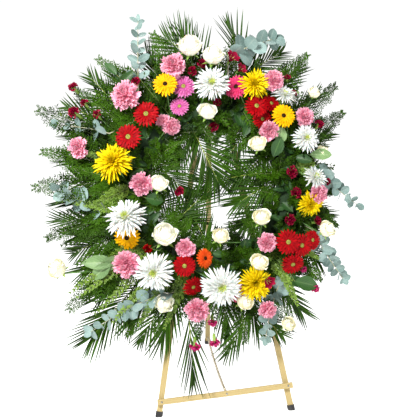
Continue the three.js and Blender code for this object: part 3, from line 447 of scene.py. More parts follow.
def bud(growth, r, centre, turn):
    """A spray carnation, half open, with its long calyx."""
    rows = [
        (7, 0.9, 0.9, 0.2, -0.15),
        (7, 0.95, 0.75, 0.6, 0),
        (6, 0.95, 0.6, 1.0, 0.1),
        (4, 0.95, 0.5, 1.35, 0.1),
    ]
    frills(growth, r, centre, turn, rows, 2.6, along=3)
    calyx(growth, centre, turn, -1.75 * r, -0.25 * r, 0.3 * r)


def lily(growth, r, centre, turn):
    """A small trumpet of six tepals with its stamens."""
    for count, spin, width in ((3, 0.3, 0.78), (3, 1.35, 0.6)):
        sheets = whorl(count, 1.35 * r, width * r, TEPAL, lift=-0.55 * r, rise=1.15, bend=-0.6, along=7,
                       across=4, cup=0.3, spin=spin, loose=0.05)
        growth.seat(sheets, centre, turn, PETAL)
    stamens = whorl(6, 0.8 * r, 0.05 * r, QUILL, lift=-0.5 * r, rise=1.15, bend=-0.2, along=4, across=1)
    growth.seat(stamens, centre, turn, HEART)
    throat = lathe([(0.04 * r, -1.0 * r), (0.1 * r, -0.8 * r), (0.16 * r, -0.5 * r)], 8)
    growth.seat(throat, centre, turn, CALYX)


# Each kind's maker, and how far its neck lies behind its centre, in radii
HEADS = {
    "gerbera": (gerbera, 0.2), "mum": (chrysanthemum, 0.26), "rose": (rose, 0.85),
    "carnation": (carnation, 0.98), "bud": (bud, 1.7), "lily": (lily, 1.0),
}
STEM_FOOT_OUT = 40.0
STEM_STEPS = 9
SLIM_STEM, FULL_STEM = 1.5, 2.3


def bloom(growth, root, kind, x, y, out, r, lean_x, lean_y):
    """A head facing (lean_x, lean_y, 1) on its own stem, which runs down into the foam."""
    facing = unit([lean_x + x / 1500, lean_y + y / 1500, 1])
    centre = np.array([x, y, out], float)
    make, depth = HEADS[kind]
    make(growth, r, centre, turn_to(facing, chance.uniform(0, 6.28)))
    neck = centre - facing * depth * r
    foot = np.array([root[0], root[1], STEM_FOOT_OUT]) + chance.uniform(-9, 9, 3) * [1, 1, 0]
    knee = neck - facing * min(22, max(6, 0.35 * abs(neck[2] - STEM_FOOT_OUT)))
    t = np.linspace(0, 1, STEM_STEPS)[:, None]
    pull = 0.45 * knee + 0.55 * foot * [1, 1, 0] + [0, 0, 36]
    path = (1 - t) ** 2 * foot + 2 * t * (1 - t) * pull + t**2 * neck
    growth.sheets(*tube(path, SLIM_STEM if kind in ("bud", "lily") else FULL_STEM), STALK)


# Each bunch: its root in the foam, then its heads (kind, style, across, up, out, radius, lean across, lean up)

BUNCHES = {
    "white_blooms_lower_left": ((-110, -245, 66), [
        ("mum", "white", 5, -330, 130, 67, 0, 0),
        ("mum", "white", -210, -275, 130, 64, 0, 0),
        ("rose", "white", -180, -375, 86, 38, 0.25, 0.55),
        ("rose", "ivory", -520, -250, 62, 40, -0.9, 1.0),
    ]),
    "yellow_gerbera_top_left": ((-130, 228, 66), [
        ("gerbera", "golden", -150, 330, 120, 44, 0, 0),
    ]),
    "yellow_blooms_upper_right": ((180, 195, 66), [
        ("gerbera", "golden", 230, 215, 125, 43, 0, 0),
        ("mum", "yellow", 140, 322, 118, 51, 0, 0),
    ]),
    "yellow_blooms_left": ((-262, -10, 66), [
        ("mum", "yellow", -325, 80, 120, 64, -0.1, 0.3),
        ("gerbera", "golden", -290, -160, 92, 46, 0, -0.3),
    ]),
    "red_gerberas_left": ((-205, 165, 66), [
        ("gerbera", "red", -215, 235, 116, 46, 0, 0),
        ("gerbera", "red", -275, 160, 130, 46, 0, 0),
    ]),
    "red_gerberas_right": ((225, -145, 66), [
        ("gerbera", "red", 225, -195, 130, 45, 0, 0),
        ("gerbera", "red", 272, -207, 108, 42, 0.2, 0),
        ("gerbera", "red", 312, -190, 84, 36, 0.4, 0.1),
        ("gerbera", "red", 242, -266, 96, 42, 0, -0.6),
    ]),
    "white_blooms_top": ((-30, 268, 66), [
        ("mum", "white", 0, 325, 132, 58, 0, 0),
        ("rose", "white", -65, 460, 104, 48, -0.1, 0.8),
        ("rose", "white", 10, 425, 112, 44, 0.1, 0.9),
        ("rose", "white", -15, 240, 108, 36, 0.1, 0.55),
    ]),
    "white_and_cream_roses_low": ((135, -192, 66), [
        ("rose", "ivory", 130, -255, 122, 36, 0.25, 0.9),
        ("rose", "ivory", 145, -110, 110, 36, -0.2, 0.9),
        ("rose", "ivory", 10, -165, 102, 34, 0.25, 1.0),
        ("rose", "ivory", 80, -380, 100, 34, 0.25, 0.55),
    ]),
    "white_blooms_left": ((-232, -70, 66), [
        ("rose", "white", -170, -155, 116, 48, 0.1, 0.9),
        ("rose", "white", -180, 10, 110, 35, 0.3, 0.9),
        ("mum", "white", -290, -100, 124, 66, -0.1, 0.6),
    ]),
    "white_mums_right": ((262, 75, 66), [
        ("mum", "white", 300, 140, 118, 46, 0, 0),
        ("mum", "white", 325, 10, 106, 45, 0.5, 0.8),
        ("mum", "white", 240, 285, 100, 42, 0.2, 1.0),
    ]),
    "red_gerberas_upper_right": ((150, 185, 66), [
        ("gerbera", "red", 145, 252, 112, 42, 0, 0),
        ("gerbera", "red", 196, 262, 96, 36, 0.4, 0.3),
        ("gerbera", "red", 165, 212, 92, 36, 0, -0.2),
    ]),
    "red_gerberas_bottom": ((-75, -232, 66), [
        ("gerbera", "red", -110, -258, 112, 40, 0, 0),
        ("gerbera", "red", -84, -326, 98, 38, 0.4, -0.5),
        ("gerbera", "orange_red", -42, -236, 96, 36, 0.8, 0.2),
        ("bud", "red", -225, -200, 104, 17, 0, 0),
    ]),
    "pink_blooms_top": ((-100, 272, 66), [
        ("carnation", "pink", -120, 395, 112, 40, 0, 0),
        ("gerbera", "rose_pink", -90, 325, 100, 42, 0, 0),
        ("gerbera", "rose_pink", -105, 262, 88, 34, 0, 0),
        ("carnation", "pink", -160, 215, 84, 24, 0, 0),
    ]),
    "pink_carnations_left": ((-228, 85, 66), [
        ("carnation", "pink", -280, 300, 118, 45, 0, 0),
        ("carnation", "pink", -240, 10, 108, 36, -0.1, -0.2),
        ("carnation", "pink", -440, 135, 92, 33, -0.6, -0.2),
        ("carnation", "pink", -130, 195, 88, 28, 0.5, -0.4),
    ]),
    "pink_blooms_upper_right": ((130, 215, 66), [
        ("carnation", "pink", 206, 338, 112, 34, 0, 0),
        ("carnation", "pink", 305, 215, 104, 30, 0, 0),
        ("carnation", "pink", 185, 168, 104, 32, 0, -0.6),
        ("gerbera", "hot_pink", 82, 318, 106, 44, -0.5, 0),
    ]),
    "pink_carnations_lower_left": ((-150, -205, 66), [
        ("carnation", "pink", -296, -248, 108, 43, 0, 0),
        ("carnation", "pink", -105, -203, 122, 30, 0, 0),
    ]),
    "pink_blooms_bottom": ((60, -262, 66), [
        ("gerbera", "hot_pink", 58, -350, 92, 36, 0, 0),
        ("lily", "burgundy", 152, -318, 146, 26, 0.4, -0.3),
        ("carnation", "pink", 160, -195, 114, 30, 0, 0),
        ("carnation", "pink", 155, -412, 92, 29, 0.2, -0.3),
        ("carnation", "pink", -75, -402, 106, 38, 0, 0),
        ("bud", "magenta", -85, -520, 72, 20, -0.1, -2),
        ("bud", "magenta", -20, -510, 72, 19, 0.1, -2),
        ("bud", "magenta", -25, -445, 78, 18, 0, -1.5),
    ]),
    "yellow_mum_bottom": ((105, -238, 66), [
        ("mum", "yellow", 115, -322, 112, 56, 0, 0),
    ]),
    "pink_blooms_right": ((268, -48, 66), [
        ("carnation", "pink", 340, -40, 106, 30, 0.3, 0),
        ("bud", "magenta", 320, -350, 62, 16, 0.4, -1),
        ("bud", "magenta", 282, -285, 72, 13, 0.2, -0.5),
    ]),
    "burgundy_blooms_left": ((-250, 120, 66), [
        ("bud", "burgundy", -450, 340, 70, 19, -0.9, 1.1),
        ("bud", "burgundy", -450, 255, 80, 23, -1.1, 0.8),
        ("bud", "burgundy", -375, 245, 86, 17, -0.7, 0.9),
        ("bud", "burgundy", -415, 285, 80, 15, -0.8, 1.0),
        ("bud", "burgundy", -245, 345, 112, 16, 0, 0.5),
        ("bud", "burgundy", -115, -15, 80, 17, 0.5, -0.2),
    ]),
    "burgundy_blooms_top": ((40, 248, 66), [
        ("bud", "burgundy", -25, 402, 92, 17, 0.2, 0),
        ("bud", "burgundy", -58, 378, 96, 17, 0, 0),
        ("bud", "burgundy", 20, 272, 88, 15, 0, 0),
        ("bud", "burgundy", 5, 196, 72, 18, 0, -0.3),
        ("lily", "burgundy", 72, 414, 100, 30, 0.7, 0.5),
        ("lily", "burgundy", 100, 378, 92, 24, 0.8, 0.3),
    ]),
    "burgundy_blooms_right": ((272, 8, 62), [
        ("bud", "burgundy", 255, 35, 96, 21, 0, 0),
        ("bud", "burgundy", 265, -35, 96, 20, 0, 0),
        ("bud", "burgundy", 240, -122, 92, 20, 0, -0.3),
        ("bud", "burgundy", 332, -128, 88, 17, 0.4, 0.3),
        ("bud", "burgundy", 374, 0, 78, 13, 0.5, 0),
        ("bud", "burgundy", 356, 192, 84, 18, 0.4, 0.5),
        ("bud", "burgundy", 275, 298, 76, 14, 0.2, 0.6),
        ("bud", "burgundy", 258, 354, 74, 12, 0, 0.8),
    ]),
    "yellow_mum_right": ((272, -85, 66), [
        ("mum", "yellow", 310, -74, 90, 43, 0.1, -0.3),
    ]),
    "white_roses_right": ((225, 120, 78), [
        ("rose", "ivory", 145, 130, 110, 34, -0.4, 0.9),
        ("rose", "ivory", 345, 300, 70, 26, 0.3, 1.3),
        ("rose", "ivory", 362, 98, 82, 27, 0.8, 0.9),
    ]),
    "white_roses_lower_right": ((250, -112, 66), [
        ("rose", "ivory", 362, -155, 86, 34, 0.6, 0.9),
        ("rose", "ivory", 225, -460, 60, 29, 0.1, 0.55),
    ]),
}

# Greens, in millimetres on the wreath

LEAFLET_WIDTH = 7.0
LEAFLET_SPACING = 9.5
RIB_PART = 0.7
PALM_SAG = 0.05
PALM_STEPS = 14
FERN_WIDTH = 3.9
FERN_SAG = 0.04
FERN_STEPS = 9
LEAFLETS_A_ROW = 6
TWIG_SAG = 0.03
TWIG_STEPS = 10
SPRIG_STEPS = 16


def palm(growth, base, tip, reach, opened, closed):
    """A palm frond: a slim arched rib, and long pointed leaflets that run on past its end.
    They stand at the angle opened at its foot and closed at its end."""
    base, tip = np.asarray(base, float), np.asarray(tip, float)
    span = np.linalg.norm(tip - base)
    rib_end = base + (tip - base) * RIB_PART
    pairs = int(span * RIB_PART / LEAFLET_SPACING * np.clip(opened / 0.75, 0.42, 1))
    path = bowed(base, rib_end, OUT * span * PALM_SAG, PALM_STEPS)
    growth.sheets(*tube(path, np.linspace(2.2, 0.7, PALM_STEPS), 5, 0.9), 1)
    t = np.linspace(0.02, 1.0, pairs)
    place, ahead = on_path(path, t)
    front = unit(OUT - ahead * ahead[:, 2:3])
    side = np.cross(front, ahead)
    for hand in (-1, 1):
        angle = opened + (closed - opened) * t + chance.uniform(-0.05, 0.05, pairs)
        size = np.minimum(1.9 * reach * (1 - 0.45 * np.sin(angle)), span * (1 - RIB_PART * t) * 1.08)
        size = size * chance.uniform(0.84, 1.0, pairs)
        lifted = 0.2 + chance.uniform(-0.07, 0.1, pairs)
        direction = ahead * np.cos(angle)[:, None] + hand * side * np.sin(angle)[:, None]
        direction = direction + front * np.tan(lifted)[:, None] * 0.6
        width = LEAFLET_WIDTH * chance.uniform(0.8, 1.15, pairs)
        sheets = blades(
            place, direction, front - hand * side * 0.5, size, width, SPEAR, along=6, across=2, cup=0.45,
            bend=chance.uniform(-0.35, 0.0, pairs), twist=chance.uniform(-0.35, 0.35, pairs),
        )
        growth.sheets(*sheets, 0)


def feather(growth, base, tip, reach, pairs, opened=0.95, closed=0.5, tint=None, lift=0.1):
    """A soft fern spray: branchlets on both sides of a thin rib, each with rows of tiny leaflets."""
    base, tip = np.asarray(base, float), np.asarray(tip, float)
    span = np.linalg.norm(tip - base)
    lean = np.append(chance.uniform(-0.35, 0.35, 2), 1.0)
    path = bowed(base, tip, lean * [0.3, 0.3, 1.0] * span * FERN_SAG, FERN_STEPS)
    shade = chance.uniform(0, 1) if tint is None else tint
    growth.sheets(*tube(path, np.linspace(1.3, 0.5, FERN_STEPS), 4, shade), 1)
    t = np.linspace(0.1, 0.98, pairs)
    place, ahead = on_path(path, t)
    front = unit(lean - ahead * (ahead @ lean)[:, None])
    side = np.cross(front, ahead)
    for hand in (-1, 1):
        angle = opened + (closed - opened) * t + chance.uniform(-0.12, 0.12, pairs)
        size = reach * np.interp(t, [0, 0.3, 1], [0.75, 1, 0.22]) * chance.uniform(0.8, 1.1, pairs)
        direction = unit(
            ahead * np.cos(angle)[:, None] + hand * side * np.sin(angle)[:, None]
            + front * (lift + chance.uniform(-0.18, 0.18, pairs))[:, None]
        )
        across_branch = unit(np.cross(front, direction))
        ribs = blades(place, direction, front, size, 1.3, SPEAR, along=2, across=1, tint=shade)
        growth.sheets(*ribs, 0)
        s = np.linspace(0.12, 0.96, LEAFLETS_A_ROW)
        roots = (place[:, None] + direction[:, None] * (size[:, None] * s)[..., None]).reshape(-1, 3)
        for way in (-1, 1):
            out = direction * 0.75 + across_branch * 0.66 * way
            leaflets = np.repeat(out, LEAFLETS_A_ROW, 0) + chance.normal(0, 0.13, (len(roots), 3))
            length = (size[:, None] * (0.42 - 0.24 * s)).ravel() * chance.uniform(0.75, 1.2, len(roots))
            faces = np.repeat(front, LEAFLETS_A_ROW, 0) + chance.normal(0, 0.55, (len(roots), 3))
            shades = np.clip(shade + chance.normal(0, 0.24, len(roots)), 0, 1)
            sheets = blades(
                roots, leaflets, faces, length * 1.1, FERN_WIDTH, SPEAR, along=2, across=1, tint=shades
            )
            growth.sheets(*sheets, 0)


def myrtle(growth, base, tip, size, pairs):
    """A twig with small oval leaves in pairs, smaller towards its tip."""
    base, tip = np.asarray(base, float), np.asarray(tip, float)
    path = bowed(base, tip, chance.normal(0, 1, 3) * np.linalg.norm(tip - base) * TWIG_SAG, TWIG_STEPS)
    shade = chance.uniform(0.2, 0.8)
    growth.sheets(*tube(path, np.linspace(1.5, 0.7, TWIG_STEPS), 4, 0.9), 1)
    t = np.linspace(0.22, 1.0, pairs)
    place = on_path(path, t)[0]
    ahead = unit(tip - base)
    for i in range(pairs):
        spin = i * 1.57 + chance.uniform(-0.3, 0.3)
        for hand in (0, math.pi):
            side = turn_to(ahead) @ [math.cos(spin + hand), math.sin(spin + hand), 0]
            direction = ahead * 0.75 + side * 0.8
            normal = ahead * 0.7 - side * 0.5 + [0, 0, 0.3]
            length = size * (1.1 - 0.45 * t[i]) * chance.uniform(0.8, 1.15)
            sheets = blades(
                place[i], direction, normal, length, size * 0.5 * (1.1 - 0.4 * t[i]), OVAL, along=4, across=2,
                cup=0.35, bend=chance.uniform(-0.5, 0.2), tint=np.clip(shade + chance.normal(0, 0.12), 0, 1),
            )
            growth.sheets(*sheets, 0)


def eucalyptus(growth, path_points, pairs, size, slim):
    """Round grey leaves in pairs along a pale stem through three points, each pair turned from the last."""
    t = np.linspace(0, 1, SPRIG_STEPS)[:, None]
    a, b, c = np.asarray(path_points, float)
    path = (1 - t) ** 2 * a + 2 * t * (1 - t) * (2 * b - 0.5 * a - 0.5 * c) + t**2 * c
    growth.sheets(*tube(path, np.linspace(2.0, 0.9, SPRIG_STEPS), 5, 0.9), 1)
    for i in range(pairs):
        part = 0.08 + 0.9 * i / max(pairs - 1, 1)
        place, ahead = on_path(path, part)
        spin = i * 1.4 + chance.uniform(-0.35, 0.35)
        for hand in (0, math.pi):
            side = turn_to(ahead) @ [math.cos(spin + hand), math.sin(spin + hand), 0]
            side[2] *= 0.55
            leaf = size * (1.15 - 0.5 * part) * chance.uniform(0.82, 1.12)
            direction = side * 0.95 + ahead * 0.45
            normal = OUT + ahead * 0.55 + chance.normal(0, 0.28, 3)
            sheets = blades(place, direction, normal, leaf, leaf * 0.94 * slim, ROUND, along=7, across=4,
                            cup=chance.uniform(0.05, 0.3), bend=chance.uniform(-0.6, 0.35), ruffle=0.02)
            growth.sheets(*sheets, 0)
    end_leaf = blades(path[-1], path[-1] - path[-2], OUT, size * 0.6, size * 0.5 * slim, ROUND, along=6, across=4)
    growth.sheets(*end_leaf, 0)


def broad_leaf(growth, base, tip, width, look, tint=0.5):
    """A single oval leaf, cupped and curling back towards its tip."""
    base, tip = np.asarray(base, float), np.asarray(tip, float)
    span = np.linalg.norm(tip - base)
    sheets = blades(base, tip - base, (0.1, 0.1, 1), span, width, OVAL, bend=-0.35, along=12, across=6, cup=0.3,
                    ruffle=0.012, tint=tint)
    growth.sheets(*sheets, look)


def on_ring(degrees, radius, out):
    """A point on the wreath at degrees round its middle, counted from its right."""
    angle = math.radians(degrees)
    return np.array([math.cos(angle) * radius, math.sin(angle) * radius, out])


# Materials: colour, veins and roughness come from the marks along and across each petal


class Wiring:
    """Short names for adding and joining nodes in one tree."""

    def __init__(self, tree):
        self.tree = tree

    def node(self, kind, **values):
        made = self.tree.nodes.new(kind)
        for key, value in values.items():
            setattr(made, key, value)
        return made

    def join(self, source, target):
        self.tree.links.new(source, target)

    def feed(self, socket, value):
        if isinstance(value, bpy.types.NodeSocket):
            self.join(value, socket)
        else:
            socket.default_value = value

    def maths(self, operation, a, b=0.5, c=0.5, clamp=False):
        made = self.node("ShaderNodeMath", operation=operation, use_clamp=clamp)
        for place, given in enumerate((a, b, c)):
            self.feed(made.inputs[place], given)
        return made.outputs[0]

    def mix(self, factor, a, b, blend="MIX"):
        made = self.node("ShaderNodeMix", data_type="RGBA", blend_type=blend)
        self.feed(made.inputs["Factor"], factor)
        self.feed(made.inputs["A"], a)
        self.feed(made.inputs["B"], b)
        return made.outputs["Result"]

    def ramp(self, value, low, high, out_low=0.0, out_high=1.0):
        made = self.node("ShaderNodeMapRange", interpolation_type="SMOOTHSTEP")
        for place, given in enumerate((value, low, high, out_low, out_high)):
            self.feed(made.inputs[place], given)
        return made.outputs[0]

    def noise(self, vector, scale, detail):
        made = self.node("ShaderNodeTexNoise")
        for label, given in (("Vector", vector), ("Scale", scale), ("Detail", detail)):
            self.feed(made.inputs[label], given)
        return made.outputs["Fac"]

    def vector(self, x, y, z):
        made = self.node("ShaderNodeCombineXYZ")
        for place, given in enumerate((x, y, z)):
            self.feed(made.inputs[place], given)
        return made.outputs[0]


    def marks(self):
        """A sheet's marks along, across and tint, and the place on the piece."""
        split = self.node("ShaderNodeSeparateXYZ")
        self.join(self.node("ShaderNodeAttribute", attribute_name="mark").outputs["Vector"], split.inputs[0])
        return *split.outputs, self.node("ShaderNodeTexCoord").outputs["Object"]

    def darker(self, factor, shade):
        """The shade multiplied by itself, as far as factor says."""
        return self.mix(factor, shade, self.mix(1.0, shade, shade, "MULTIPLY"))


SOCKET_KINDS = {1: "NodeSocketFloat", 3: "NodeSocketVector", 4: "NodeSocketColor"}
SURFACE = {"Colour": SOCKET_KINDS[4], "Height": SOCKET_KINDS[1], "Roughness": SOCKET_KINDS[1]}


def new_group(name, inputs):
    """A surface group's wiring and its inputs by label, each of the kind that its first value has."""
    tree = bpy.data.node_groups.new(name, "ShaderNodeTree")
    for label, value in inputs.items():
        socket = tree.interface.new_socket(name=label, in_out="INPUT", socket_type=SOCKET_KINDS[np.size(value)])
        socket.default_value = value
    for label, kind in SURFACE.items():
        tree.interface.new_socket(name=label, in_out="OUTPUT", socket_type=kind)
    wiring = Wiring(tree)
    return wiring, wiring.node("NodeGroupInput").outputs


def close_group(wiring, shade, height, roughness):
    """Joins a surface group's three outputs."""
    out = wiring.node("NodeGroupOutput")
    for label, socket in zip(SURFACE, (shade, height, roughness)):
        wiring.join(socket, out.inputs[label])
    return wiring.tree


def colour(r, g, b):
    """A colour with its alpha."""
    return (r, g, b, 1.0)


def petal_group():
    """Colour and relief of a petal: base, middle and tip colours, fine lengthwise veins, tint by petal."""
    w, given = new_group("petal_surface", {
        "Base Colour": colour(1, 1, 1), "Middle Colour": colour(1, 1, 1), "Tip Colour": colour(1, 1, 1),
        "Base Ends": 0.3, "Tip Starts": 0.75, "Vein Depth": 0.2, "Tint Spread": 0.15,
    })
    along, across, tint, place = w.marks()
    mottle = w.noise(place, 160, 2)
    along_now = w.maths("ADD", along, w.maths("MULTIPLY_ADD", mottle, 0.25, -0.12))
    base = w.ramp(along_now, 0.0, given["Base Ends"])
    tip = w.ramp(along_now, given["Tip Starts"], 1.0)
    shade = w.mix(base, given["Base Colour"], given["Middle Colour"])
    shade = w.mix(tip, shade, given["Tip Colour"])
    strands = w.vector(*(w.maths("MULTIPLY", mark, k) for mark, k in ((along, 1.2), (across, 5.5), (tint, 40))))
    veins = w.noise(strands, 2.6, 2)
    dark = w.ramp(veins, 0.35, 0.65, 1.0, 0.0)
    shade = w.darker(w.maths("MULTIPLY", dark, given["Vein Depth"]), shade)
    swing = w.maths("MULTIPLY", w.ramp(tint, 0.0, 1.0, -0.5, 0.5), given["Tint Spread"])
    tone = w.node("ShaderNodeHueSaturation")
    w.join(shade, tone.inputs["Color"])
    w.feed(tone.inputs["Value"], w.maths("ADD", swing, 1.0))
    height = w.maths("ADD", veins, w.maths("MULTIPLY", mottle, 0.3))
    return close_group(w, tone.outputs[0], height, w.ramp(mottle, 0.3, 0.7, 0.5, 0.72))


def leaf_group():
    """Colour and relief of a leaf: dark and light greens by leaf, midrib, side veins, dry edges."""
    w, given = new_group("leaf_surface", {
        "Dark Colour": colour(0, 0.1, 0), "Light Colour": colour(0.1, 0.3, 0),
        "Rib Colour": colour(0.3, 0.4, 0.1), "Rib Strength": 0.5, "Vein Count": 9.0, "Dry Amount": 0.0,
    })
    along, across, tint, place = w.marks()
    patches = w.noise(place, 14, 4)
    mottle = w.noise(place, 220, 2)
    tone = w.maths("ADD", w.maths("MULTIPLY", tint, 0.7), w.ramp(patches, 0.35, 0.68, 0.0, 0.5), clamp=True)
    shade = w.mix(tone, given["Dark Colour"], given["Light Colour"])
    beside = w.maths("ABSOLUTE", across)
    rib = w.ramp(beside, 0.02, 0.14, 1.0, 0.0)
    slant = w.maths("SUBTRACT", along, w.maths("MULTIPLY", beside, 0.35))
    ladder = w.maths("SINE", w.maths("MULTIPLY", slant, w.maths("MULTIPLY", given["Vein Count"], 6.283)))
    side_veins = w.ramp(ladder, 0.72, 1.0, 0.0, 0.55)
    lines = w.maths("MAXIMUM", rib, side_veins)
    shade = w.mix(w.maths("MULTIPLY", lines, given["Rib Strength"]), shade, given["Rib Colour"])
    shade = w.darker(w.ramp(mottle, 0.3, 0.75, 0.22, 0.0), shade)
    edge = w.ramp(w.maths("ADD", along, w.maths("MULTIPLY", mottle, 0.4)), 1.12, 1.3)
    shade = w.mix(w.maths("MULTIPLY", edge, given["Dry Amount"]), shade, colour(0.24, 0.13, 0.05))
    height = w.maths("ADD", lines, w.maths("MULTIPLY", mottle, 0.35))
    return close_group(w, shade, height, w.ramp(mottle, 0.25, 0.75, 0.36, 0.58))


def grain_group():
    """Planed softwood at the given place: growth lines, pale streaks, broad darker bands and pores."""
    w, given = new_group("wood_grain", {"Vector": (0, 0, 0), "Warmth": 0.5})
    stretch = w.node("ShaderNodeMapping")
    w.join(given["Vector"], stretch.inputs["Vector"])
    stretch.inputs["Scale"].default_value = (1.0, 1.0, 0.035)
    bands = w.node("ShaderNodeTexWave", wave_type="BANDS", bands_direction="X")
    w.join(stretch.outputs[0], bands.inputs["Vector"])
    for label, value in (("Scale", 60.0), ("Distortion", 7.0), ("Detail", 3.0), ("Detail Scale", 1.2)):
        bands.inputs[label].default_value = value
    streaks = w.noise(stretch.outputs[0], 260, 4)
    broad = w.noise(stretch.outputs[0], 30, 2)
    pores = w.noise(stretch.outputs[0], 900, 2)
    lines = w.ramp(bands.outputs["Fac"], 0.2, 0.9, 0.0, 0.55)
    shade = w.mix(lines, colour(0.58, 0.45, 0.2), colour(0.46, 0.33, 0.13))
    shade = w.mix(w.ramp(streaks, 0.45, 0.75, 0.0, 0.4), shade, colour(0.62, 0.51, 0.27))
    shade = w.mix(w.ramp(broad, 0.35, 0.7, 0.0, 0.5), shade, colour(0.53, 0.4, 0.17))
    shade = w.mix(w.ramp(pores, 0.62, 0.8, 0.0, 0.35), shade, colour(0.3, 0.17, 0.06))
    warm = w.node("ShaderNodeHueSaturation")
    w.join(shade, warm.inputs["Color"])
    w.feed(warm.inputs["Value"], w.maths("ADD", given["Warmth"], 0.6))
    height = w.maths("ADD", bands.outputs["Fac"], w.maths("MULTIPLY", pores, 0.8))
    return close_group(w, warm.outputs[0], height, w.ramp(streaks, 0.3, 0.75, 0.42, 0.62))


def wear_group():
    """Fine scratches, dust and blotches for metal, rubber and plastic."""
    w, given = new_group("worn_surface", {
        "Colour": colour(0.5, 0.5, 0.5), "Dust Colour": colour(0.5, 0.45, 0.4), "Dust": 0.2, "Scale": 60.0,
        "Roughness": 0.4,
    })
    place = w.node("ShaderNodeTexCoord").outputs["Object"]
    blotch = w.noise(place, given["Scale"], 5.0)
    fine = w.noise(place, 1400, 2)
    dust = w.maths("MULTIPLY", w.ramp(blotch, 0.42, 0.72), given["Dust"])
    spread = w.maths("MULTIPLY", w.maths("SUBTRACT", blotch, 0.5), 0.5)
    shade = w.mix(dust, given["Colour"], given["Dust Colour"])
    roughness = w.maths("ADD", given["Roughness"], spread, clamp=True)
    return close_group(w, shade, w.maths("ADD", fine, blotch), roughness)


PETAL_SURFACE = petal_group()
LEAF_SURFACE = leaf_group()
WOOD_GRAIN = grain_group()
WORN_SURFACE = wear_group()


def surfaced(name, group, values, relief, distance, **sockets):
    """A material whose colour, roughness and relief come from a surface group; relief is the bump's
    strength and distance its depth in metres."""
    material = bpy.data.materials.new(name)
    material.use_nodes = True
    w = Wiring(material.node_tree)
    shader = material.node_tree.nodes["Principled BSDF"]
    surface = w.node("ShaderNodeGroup", node_tree=group)
    for label, value in values.items():
        surface.inputs[label].default_value = value
    w.join(surface.outputs["Colour"], shader.inputs["Base Color"])
    w.join(surface.outputs["Roughness"], shader.inputs["Roughness"])
    bump = w.node("ShaderNodeBump")
    bump.inputs["Strength"].default_value = relief
    bump.inputs["Distance"].default_value = distance
    w.join(surface.outputs["Height"], bump.inputs["Height"])
    w.join(bump.outputs[0], shader.inputs["Normal"])
    for label, value in sockets.items():
        shader.inputs[label.replace("_", " ")].default_value = value
    return material, surface, w


def petal(name, base, middle, tip, base_ends=0.3, tip_starts=0.7, vein=0.25, spread=0.14, glow=0.35, painted_glow=0.0):
    """A petal's material; the last argument is a painted glow: the petal gives off its own colour at that
    strength, in place of light coming through a thin petal from behind.
    """
    # Emission here is a painted glow in the petal's own colour, standing in for light through the petal from
    # behind.
    sockets = {
        "Emission_Strength": painted_glow, "Specular_IOR_Level": 0.1, "Subsurface_Weight": glow,
        "Subsurface_Radius": (0.006, 0.004, 0.003), "Subsurface_Scale": 0.6,
    }
    values = {
        "Base Colour": colour(*base), "Middle Colour": colour(*middle), "Tip Colour": colour(*tip),
        "Base Ends": base_ends, "Tip Starts": tip_starts, "Vein Depth": vein, "Tint Spread": spread,
    }
    material, surface, w = surfaced(name, PETAL_SURFACE, values, 0.25, 0.0006, **sockets)
    # Painted glow: the petal's own colour is given off as light, at the strength of the last argument.
    w.join(surface.outputs["Colour"], material.node_tree.nodes["Principled BSDF"].inputs["Emission Color"])
    return material


def leaf(name, dark, light, rib, rib_strength, veins, dry, relief=0.3, gloss=0.45, sheen=0.0):
    """A leaf's material, from its dark and light greens and its ribs."""
    values = {
        "Dark Colour": colour(*dark), "Light Colour": colour(*light), "Rib Colour": colour(*rib),
        "Rib Strength": rib_strength, "Vein Count": veins, "Dry Amount": dry,
    }
    sockets = {"Specular_IOR_Level": gloss, "Sheen_Weight": sheen}
    return surfaced(name, LEAF_SURFACE, values, relief, 0.0005, **sockets)[0]


def worn(name, base, dust_colour, dust, scale, roughness, relief=0.15, **sockets):
    """Metal, rubber, plastic or foam with dust and blotches of the given scale."""
    values = {
        "Colour": colour(*base), "Dust Colour": colour(*dust_colour), "Dust": dust, "Scale": scale,
        "Roughness": roughness,
    }
    return surfaced(name, WORN_SURFACE, values, relief, 0.0003, **sockets)[0]


def wood(name, along, warmth):
    """Wood whose grain runs along a direction of the row frame."""
    material, surface, w = surfaced(name, WOOD_GRAIN, {"Warmth": warmth}, 0.3, 0.0005, Specular_IOR_Level=0.35)
    turn = w.node("ShaderNodeMapping", vector_type="POINT")
    place = w.node("ShaderNodeTexCoord")
    w.join(place.outputs["Object"], turn.inputs["Vector"])
    turn.inputs["Rotation"].default_value = Matrix(turn_to(along).T.tolist()).to_euler()
    turn.inputs["Location"].default_value = chance.uniform(-0.3, 0.3, 3)
    w.join(turn.outputs[0], surface.inputs["Vector"])
    return material
